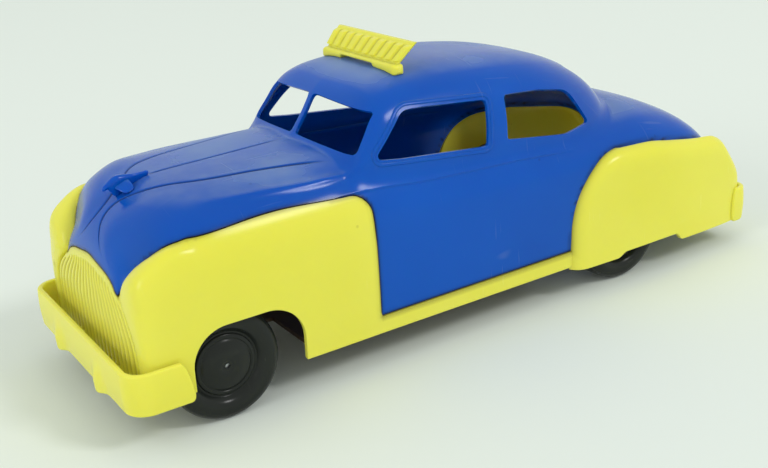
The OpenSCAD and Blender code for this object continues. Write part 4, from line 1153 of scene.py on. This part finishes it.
def yellow_front(at, p):
    """Keeps the sill below its joint, the fender in its region, and the crest where it leaves the body."""
    s = np.clip(at[:, 0], TAIL, NOSE)
    sill = np.where((p[:, 0] < SILL_END) & (at[:, 1] < SILL_SHARE), SILL_TOP - p[:, 2], -CLEAR)
    region = np.minimum(-front_region(*p.T), (REGION_SHARE - at[:, 1]) * REGION_RUN)
    _, _, y, z = crest_point(s, np.clip(at[:, 1], 0, 1))
    free = np.where(s > CREST_START, outside_body(s, y, z) + SEAM_GAP, -CLEAR)
    return np.maximum(np.maximum(sill, region), free)


def over_arch(at, p):
    """Keeps what is outside the wheel opening, and above the foot of the leg ahead of the wheel."""
    x, y, z = p.T
    leg = np.where(x > FRONT_AXLE, z - LEG_FOOT, CLEAR)
    return np.minimum(np.where(y > ARCH_ZONE, wheel_arch(x, z), CLEAR), leg)


places, flank, faces = trimmed(fender_skin, fender_columns, fender_rows, yellow_front, over_arch)
joint = yellow_front(places, flank)
put("front_fenders", both_sides(flank, faces[:, ::-1]), YELLOW, "lower_body",
    wall=WALL, edge=EDGE, grime_and_shade=FENDER_GRIME * np.tile(seam_grime(joint), 2))

# Grille between the crests.
GRILLE_HALF = 25.3
NOSE_DEPTH = 16
CREST_LAP = 0.5
# Painted shade in the grooves between the grille ribs.
RIB_SHADE = 0.5


def nose_depth(y, z):
    """Place along the car of the nose's front face at a point of the front view."""
    return halved(lambda x: outside_body(x, y, z) < 0, np.full_like(y, NOSE - NOSE_DEPTH),
                  np.full_like(y, NOSE), turns=26)


def grille_skin(place):
    """Nose face at (y, z) of the front view with its ribs, spread sideways towards the foot."""
    y, z = place[:, 0], place[:, 1]
    x = nose_depth(y, z) - RIB_DEPTH * rib_groove(y, z)
    return points(x, np.sign(y) * spread(np.abs(y), z), z)


def below_fangs(at, p):
    """Keeps the nose below the joint line."""
    return fang_line(np.abs(at[:, 0])) - at[:, 1]


def between_crests(at, p):
    """Keeps the nose up to just inside the crests."""
    y, z = np.abs(at[:, 0]), at[:, 1]
    x = nose_depth(y, z)
    return -np.where(z > crest_base(x), -outside_crest(x, y, z) - CREST_LAP, y - crest_in(x) - CREST_LAP)


places, face, faces = trimmed(grille_skin, np.linspace(-GRILLE_HALF, GRILLE_HALF, 353),
                              np.linspace(SILL_BOTTOM, GRILLE_TOP + 0.4, 48), below_fangs, between_crests)
# Painted shade in the rib grooves, with grime along the joint under the fangs.
grooves = RIB_SHADE * rib_groove(places[:, 0], places[:, 1])
put("grille", (face, faces), YELLOW, "lower_body", wall=GRILLE_WALL,
    grime_and_shade=np.maximum(grooves, FENDER_GRIME * seam_grime(below_fangs(places, face))))

# Rear fenders and the tail apron between them.
REAR_GRIME = 0.7
rear_columns = np.concatenate([np.linspace(TAIL - TAIL_CLOSE, TAIL, 7)[:-1],
                               TAIL + 14 * np.linspace(0, 1, 22)[:-1] ** 1.5,
                               spaced((TAIL + 14, REAR_FENDER_X - 12, 46))[:-1],
                               toward(REAR_FENDER_X, 12, 28)])
rear_rows = np.concatenate([spaced((0, 0.6, 20))[:-1], 1 - 0.4 * np.linspace(1, 0, 30) ** 1.8,
                            1 + SHELF_SHARE * np.linspace(0, 1, 7)[1:]])


def over_skirt(at, p):
    """Keeps what lies above the lower edge."""
    return p[:, 2] - skirt_line(p[:, 0])


def outside_side(at, p):
    """Keeps the fender where it stands outside the body side, and all of it below the sill joint."""
    x, y, z = p.T
    return np.maximum(outside_body(np.clip(x, TAIL, NOSE), y, z) - 0.05, SILL_TOP - z)


def below_sill(at, p):
    """Keeps the tail below the sill joint."""
    return SILL_TOP - p[:, 2]


places, flank, faces = trimmed(rear_fender_skin, rear_columns, rear_rows, outside_side, over_skirt)
joint = seam_grime(outside_side(places, flank) * 0.5)
put("rear_fenders", both_sides(flank, faces[:, ::-1]), YELLOW, "lower_body",
    wall=WALL, edge=EDGE, grime_and_shade=REAR_GRIME * np.tile(joint, 2))

apron_columns = np.concatenate([np.linspace(TAIL - TAIL_CLOSE, TAIL, 6)[:-1],
                                spaced((TAIL, REAR_AXLE - 20.8, 30))])
apron_rows = np.concatenate([-half_row[:30:-1], half_row[31:]])
_, apron, faces = trimmed(skin, apron_columns, apron_rows, below_sill)
put("tail_apron", (apron, faces), YELLOW, "lower_body", wall=WALL, edge=APRON_EDGE)

# Bumpers.
GUARD_Y = 18.0
GUARD_WIDTH = 3.6
BLADE_CROWN = 0.5
TALL_ROUND = 2.0
THICK_ROUND = 0.9
LEAN_REACH = 6
ARM_Y = GUARD_Y - 2
ARM_HALF = 2.4
ARM_TOP = 17
ARM_ROUND = 0.8
ROOT_FLARE = 0.22
FRONT_FACE = high_corner("front_bumper")[0] - 1.3
FRONT_SIDE = high_corner("front_bumper")[1]
REAR_SIDE = high_corner("rear_bumper")[1]


def bumper(face, back, side, r, low, high, lean, guard):
    """Blade carried round the car's end: out from back, round a quarter of radius r, across and back.

    The section is a crowned strip of thickness BLADE. Its height closes in a curve at both ends, the ends
    lean by lean, and soft guards swell out of the face and its lower edge at GUARD_Y.
    """
    run = face - r - back
    arc = np.pi * r / 2
    straight = 2 * (side - r)
    total = 2 * run + 2 * arc + straight
    a = crowded(0, total, 4, 14, 260)
    turn = (np.clip((a - run) / arc, 0, 1) + np.clip((a - run - arc - straight) / arc, 0, 1)) * np.pi / 2
    x = back + np.clip(a, 0, run) + r * np.sin(turn) - np.clip(a - run - 2 * arc - straight, 0, run)
    y = side - r - np.clip(a - run - arc, 0, straight) + r * np.cos(turn)
    swell = (guard * bell(np.abs(y) - GUARD_Y, GUARD_WIDTH))[:, None]
    ahead = np.minimum(a, total - a)
    thick = round_end(ahead, THICK_ROUND)[:, None]
    half = (high - low) / 2
    strip = rounded_outline([(0, -half), (BLADE_CROWN, 0), (0, half), (-BLADE, half), (-BLADE, -half)],
                            (0.8, 0.5 * half, 0.8, 0.7, 0.7), 8)
    out = strip[None, :, 0] * thick - BLADE_CROWN - (1 - thick) * BLADE / 2
    up = strip[None, :, 1] * round_end(ahead, TALL_ROUND)[:, None]
    out = out + swell * smoothstep(0.55, -0.6, up / half)
    z = (low + high) / 2 + up - 0.5 * swell * np.clip(-up / half, 0, 1)
    slant = lean * up / half * np.exp(-ahead / LEAN_REACH)[:, None]
    turn = turn[:, None]
    return closed_tube(points(x[:, None] + out * np.sin(turn) + slant, y[:, None] + out * np.cos(turn), z))


def arms(start, end, low):
    """Two short arms from start to end along the car: rounded rectangles that widen at both roots."""
    t = np.linspace(0, 1, 14)[:, None]
    half = (ARM_TOP - low) / 2
    box = rounded_outline([(-ARM_HALF, -half), (ARM_HALF, -half), (ARM_HALF, half), (-ARM_HALF, half)],
                          (ARM_ROUND,) * 4, 5)
    root = 1 + ROOT_FLARE * (2 * t - 1) ** 4
    x = start + (end - start) * t
    z = (low + ARM_TOP) / 2 + box[:, 1] * root
    return [closed_tube(points(x, side * ARM_Y + box[:, 0] * root, z)) for side in (-1, 1)]


front_blade = bumper(face=FRONT_FACE + 0.9, back=FRONT_FACE - 18.2, side=FRONT_SIDE + 0.5, r=7.5,
                     low=12.3, high=25.3, lean=1.4, guard=1.7)
put("front_bumper_blade", joined(front_blade, *arms(NOSE - 0.9, FRONT_FACE - 0.9, 13.2)), YELLOW,
    "front_bumper")
rear_blade = bumper(face=-BACK_END + 0.5, back=-BACK_END - 8.4, side=REAR_SIDE, r=5.6,
                    low=8.7, high=22, lean=0.4, guard=0.0)
rear_set = joined(rear_blade, *arms(-TAIL - 1.4, -BACK_END - 1.2, 12.4))
put("rear_bumper_blade", turned_about(*rear_set), YELLOW, "rear_bumper")

# Roof sign.
SIGN_FRONT = high_corner("roof_sign")[0]
SIGN_TOP = high_corner("roof_sign")[2]
SIGN_DEPTH = 4.4
SIGN_HALF = 22.75
SIGN_LEAN = 6.0
SIGN_FLARE = 0.085
FOOT_TOP = ROOF + 1.9
FOOT_GAP = 10.0
FOOT_SINK = 0.25
FOOT_LIFT = 1.15
PANEL_HALF = SIGN_HALF - 1.2
PANEL_WALL = 1.5
BARS = 9
BAR_PITCH = (2 * SIGN_HALF - 4.8) / BARS
BAR_HEIGHT = 1.3
# Painted shade in the gaps between the sign's bars.
BAR_SHADE = 0.4


def roof_height(x, y):
    """Height of the roof at a place along the car over distances y from the middle."""
    return halved(lambda z: outside_body(np.full_like(y, x), y, z) < 0, np.full_like(y, 70.0),
                  np.full_like(y, 100.0))


def sign_foot():
    """Bar across the roof with rounded edges; its underside follows the roof and lifts between the feet."""
    y = crowded(-SIGN_HALF, SIGN_HALF, 2, 10, 120)
    back = SIGN_FRONT - SIGN_DEPTH
    roof = np.maximum(roof_height(SIGN_FRONT, y), roof_height(back, y))
    low = roof - FOOT_SINK + FOOT_LIFT * smoothstep(FOOT_GAP + 0.4, FOOT_GAP - 0.4, np.abs(y))
    corners = corner_rows(y, (SIGN_FRONT, low), (SIGN_FRONT, FOOT_TOP), (back, FOOT_TOP), (back, low))
    loop = rounded_outline(corners, (0.9, 1.7, 1.2, 0.6), 7)
    share = round_end(SIGN_HALF - np.abs(y), 1.9)[:, None]
    middle_x = SIGN_FRONT - SIGN_DEPTH / 2
    middle_z = ((low + FOOT_TOP) / 2)[:, None]
    x = middle_x + (loop[..., 0] - middle_x) * share
    return closed_tube(points(x, y[:, None], middle_z + (loop[..., 1] - middle_z) * share))


def sign_panel():
    """Leaning plate on the foot, wider at its top, with upright bars: soft steps across its front face.

    Gives the surface and the painted shade between the bars.
    """
    y = np.linspace(-1, 1, BARS * 24 + 1) * PANEL_HALF
    phase = np.abs((y / BAR_PITCH + 0.5 * (BARS + 1)) % 1 - 0.5)
    bar = BAR_HEIGHT * smoothstep(0.36, 0.26, phase)
    low = FOOT_TOP - 0.5
    corners = corner_rows(y, (0, low), (0, low + 1.1), (bar, low + 1.5), (bar, SIGN_TOP - 1.2),
                          (0, SIGN_TOP - 0.8), (0, SIGN_TOP), (-PANEL_WALL, SIGN_TOP), (-PANEL_WALL, low))
    loop = rounded_outline(corners, (0.2, 0.2, 0.3, 0.3, 0.2, 0.4, 0.4, 0.2), 5)
    share = round_end(PANEL_HALF - np.abs(y), 0.7)[:, None]
    depth = -PANEL_WALL / 2 + (loop[..., 0] + PANEL_WALL / 2) * share
    up = (loop[..., 1] - FOOT_TOP) / (SIGN_TOP - FOOT_TOP)
    x = SIGN_FRONT - 0.62 * SIGN_DEPTH + 0.8 - SIGN_LEAN * up + depth
    # Painted shade in the recesses between the bars, fading towards the panel's top and foot.
    gap = (loop[..., 0] > -0.3) * smoothstep(0.1, 0.25, up) * smoothstep(0.9, 0.75, up)
    gap = gap * smoothstep(0.3, 0.4, phase)[:, None]
    panel = closed_tube(points(x, y[:, None] * (1 + SIGN_FLARE * np.clip(up, 0, 1)), loop[..., 1]))
    return panel, BAR_SHADE * np.concatenate([gap.ravel(), [0, 0]])


foot = sign_foot()
panel, gaps = sign_panel()
put("sign", joined(foot, panel), YELLOW, "roof_sign",
    grime_and_shade=np.concatenate([np.zeros(len(foot[0])), gaps]))

# Hood ornament: the figure's spine and girth run from its tail to its nose.
ORNAMENT_NOSE = high_corner("hood_ornament")[0]
ORNAMENT_TAIL = low_corner("hood_ornament")[0]
WING_HALF = 0.8 * high_corner("hood_ornament")[1]
PERCH = low_z(ORNAMENT_TAIL)
WING_ROUND = 0.35
spine = fair(knots(0, PERCH, (0, 0.8), (4, 0.7), (7.4, 0.5), (9.8, 0.5), (12, -0.1), (15, -1.6)),
             1, NO_ENDS)
girth = fair([(0, 0.7), (2, 0.55), (4.4, 0.6), (6.4, 1.0), (8, 1.3), (10, 1.5), (11.6, 1.3), (13, 0.95),
              (15, 0.7)], 0.5, NO_ENDS)


def ornament_body():
    """Figure along the hood: round sections of varying girth on a bent spine, reaching down to the hood."""
    length = ORNAMENT_NOSE - ORNAMENT_TAIL
    a = length * (0.5 - 0.5 * np.cos(np.linspace(0, np.pi, 64)))
    turn = around(32)
    share = round_end(np.minimum(a, length - a), 1.0)[:, None]
    x = ORNAMENT_TAIL + a
    wide = girth(a)
    foot = np.maximum(spine(a) - low_z(x) + 0.3, wide)
    foot = wide + (foot - wide) * smoothstep(13.6, 10.5, a)
    rise = np.where(np.sin(turn) > 0, wide[:, None] * 1.1, foot[:, None])
    z = spine(a)[:, None] + rise * np.sin(turn) * share
    return closed_tube(points(x[:, None], wide[:, None] * np.cos(turn) * share, z))


def ornament_wings():
    """Wings across the figure: flat rounded sections that narrow, sweep back and droop towards the tips."""
    b = np.linspace(-1, 1, 61)[:, None]
    turn = around(28)
    out = np.abs(b)
    chord = (2.6 - 0.9 * out) * round_end(1 - out, WING_ROUND)
    deep = (0.8 - 0.3 * out) * round_end(1 - out, WING_ROUND)
    x = ORNAMENT_NOSE - 5.6 - 1.5 * out + chord * np.cos(turn)
    z = PERCH - 0.4 - 1.9 * out ** 1.4 + deep * np.sin(turn) - 0.3 * chord * np.cos(turn)
    return closed_tube(points(x, b * WING_HALF, z))


put("winged_ornament", joined(ornament_body(), ornament_wings()), BLUE, "hood_ornament")

# Raised lips round the front side windows.
LIP_AWAY = 1.5
LIP_HALF = 0.62
LIP_PROUD = 0.36
LIP_SINK = 0.02
LIP_STEPS = 320


def side_depth(x, z):
    """Distance of the body side from the middle at a point of the side view."""

    def inside(y):
        """Whether the point at distance y is inside the body, its station found against the sweep."""
        s = x + SCREEN_SWEEP * sweep(x) * y / SWEEP_Y
        s = x + SCREEN_SWEEP * sweep(s) * y / SWEEP_Y
        return outside_body(s, y, z) < 0

    return halved(inside, np.full_like(x, 15.0), np.full_like(x, 46.0))


def window_lip(circles):
    """Bead at LIP_AWAY round a window: an oval section carried along the offset outline on the side."""
    c = np.asarray(circles, float)
    turn = np.linspace(0, 2 * np.pi, 4000)
    way = np.stack([np.cos(turn), np.sin(turn)], axis=1)
    touch = np.argmax(way @ c[:, :2].T + c[:, 2], axis=1)
    line = c[touch, :2] + (c[touch, 2] + LIP_AWAY)[:, None] * way
    run = np.concatenate([[0], np.cumsum(np.linalg.norm(np.diff(line, axis=0), axis=1))])
    at = np.linspace(0, run[-1], LIP_STEPS, endpoint=False)
    x, z, dx, dz = [np.interp(at, run, row)[:, None] for row in (*line.T, *way.T)]
    tip = around(12)
    across = LIP_HALF * np.cos(tip)
    px, pz = x + across * dx, z + across * dz
    y = side_depth(px, pz) + LIP_PROUD * np.sin(tip) - LIP_SINK
    return ring_tube(points(px, y, pz))


put("window_lips", both_sides(*window_lip(FRONT_PANE)), BLUE, "upper_body")

# Wheels: corners (radius, distance from the outer face) of the section and how far each is rounded.
WHEEL_R = (high_corner("wheel_front_left")[2] - low_corner("wheel_front_left")[2]) / 2
WHEEL_OUT = high_corner("wheel_front_left")[1]
BOSS = low_corner("wheel_front_left")[1] - WHEEL_OUT
HUB_R = 9.6
BORE_R = 1.62
BOSS_R = BORE_R + 2.6
AXLE_END = high_corner("front_axle")[1] - WHEEL_OUT
TREAD_IN = -11.0
WHEEL_CORNERS = [(BORE_R, BOSS), (BOSS_R, BOSS), (BOSS_R, TREAD_IN + 0.9), (WHEEL_R - 5, TREAD_IN + 0.9),
                 (WHEEL_R - 4, TREAD_IN), (WHEEL_R, TREAD_IN), (WHEEL_R, -1.4), (WHEEL_R - 2.6, 0.35),
                 (HUB_R + 2.2, -0.3), (HUB_R + 0.7, -2.2), (HUB_R + 0.1, -2.2), (HUB_R - 0.1, -1.5),
                 (HUB_R - 1.1, -1.15), (HUB_R - 1.4, -1.5), (HUB_R - 2.2, -0.95), (HUB_R * 0.45, 0.15),
                 (2.2, 0.05), (1.7, -0.25), (0.75, -0.3), (0.75, AXLE_END + 0.15), (BORE_R, AXLE_END + 0.1)]
WHEEL_CUTS = (0.3, 0.3, 0.3, 0.4, 0.5, 2.4, 2.6, 2.4, 1.6, 0.3, 0.2, 0.3, 0.3, 0.2, 0.4, 2.6, 0.4, 0.3,
              0.12, 0.02, 0.02)


def wheel(x, side):
    """Wheel turned from its section round the axle."""
    radius, out = rounded_outline(WHEEL_CORNERS, WHEEL_CUTS).T
    turn = around(120)[:, None]
    return ring_tube(points(x + np.cos(turn) * radius, side * (WHEEL_OUT + out),
                            WHEEL_R + np.sin(turn) * radius))


for end, axle in (("front", FRONT_AXLE), ("rear", REAR_AXLE)):
    for hand, side in (("left", 1), ("right", -1)):
        put(f"rolled_wheel_{end}_{hand}", wheel(axle, side), BLACK, f"wheel_{end}_{hand}",
            body=f"{end}_wheelset")

# Finishes of the nodes that stay as they are.
for name, finish in (("floor_pan", DARK_PAN_SHADE), ("front_axle", STEEL), ("rear_axle", STEEL)):
    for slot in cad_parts[name].material_slots:
        slot.material = finish

# Camera, floor and light.
CAMERA_AT = (203.579, 313.722, 167.771)
CAMERA_AXES = ((-0.83768, 0.54191, -0.06804), (-0.24939, -0.26869, 0.93038), (0.48590, 0.79633, 0.36023))
FOCUS_PIXELS = 1121.703
PICTURE_WIDTH = 768
SENSOR_WIDTH = 36
FLOOR_HALF = 40
AIM = (0, 0, 0.04)


def to_scene(item):
    """Links an object to the scene."""
    bpy.context.scene.collection.objects.link(item)
    return item


def stand(axes, at):
    """Place of an object whose own axes and origin are given, in metres."""
    return Matrix.Translation(at) @ Matrix(axes).transposed().to_4x4()


camera_data = bpy.data.cameras.new("camera")
camera_data.sensor_width = SENSOR_WIDTH
camera_data.lens = FOCUS_PIXELS * SENSOR_WIDTH / PICTURE_WIDTH
camera_data.clip_start = 0.01
camera = to_scene(bpy.data.objects.new("camera", camera_data))
camera.matrix_world = stand(CAMERA_AXES, [c * MM for c in CAMERA_AT])
bpy.context.scene.camera = camera

floor_mesh = bpy.data.meshes.new("floor")
floor_corners = [(x * FLOOR_HALF, y * FLOOR_HALF, 0) for x, y in ((-1, -1), (1, -1), (1, 1), (-1, 1))]
floor_mesh.from_pydata(floor_corners, [], [(0, 1, 2, 3)])
floor = to_scene(bpy.data.objects.new("floor", floor_mesh))
paper = bpy.data.materials.new("pale_paper")
paper.use_nodes = True
sheet_tree = paper.node_tree
sheet = sheet_tree.nodes["Principled BSDF"]
sheet.inputs["Roughness"].default_value = 0.9
sheet.inputs["Specular IOR Level"].default_value = 0.1
fibre = node_in(sheet_tree, "ShaderNodeTexNoise", {"Scale": 6.0, "Detail": 3.0})
sheet_tree.links.new(mixed(sheet_tree, fibre.outputs["Fac"], srgb(232, 239, 233), srgb(235, 241, 235)),
                     sheet.inputs["Base Color"])
floor_mesh.materials.append(paper)


def softbox(name, at, size, power):
    """A square soft lamp at a place in metres that looks at the car."""
    lamp = bpy.data.lights.new(name, "AREA")
    lamp.shape = "SQUARE"
    lamp.size = size
    lamp.energy = power
    z = np.array(at, float) - np.array(AIM, float)
    z /= np.linalg.norm(z)
    x = np.cross((0, 0, 1), z)
    x /= np.linalg.norm(x)
    to_scene(bpy.data.objects.new(name, lamp)).matrix_world = stand([x, np.cross(z, x), z], at)


softbox("key", (3.4, 0.6, 1.5), size=1.2, power=26)
softbox("fill", (-1.8, 2.7, 2.9), size=0.9, power=47)
world = bpy.data.worlds.new("studio")
bpy.context.scene.world = world
world.use_nodes = True
backdrop = world.node_tree.nodes["Background"]
backdrop.inputs["Color"].default_value = srgb(236, 240, 236)
backdrop.inputs["Strength"].default_value = 0.87
bpy.context.scene.view_settings.view_transform = "Standard"
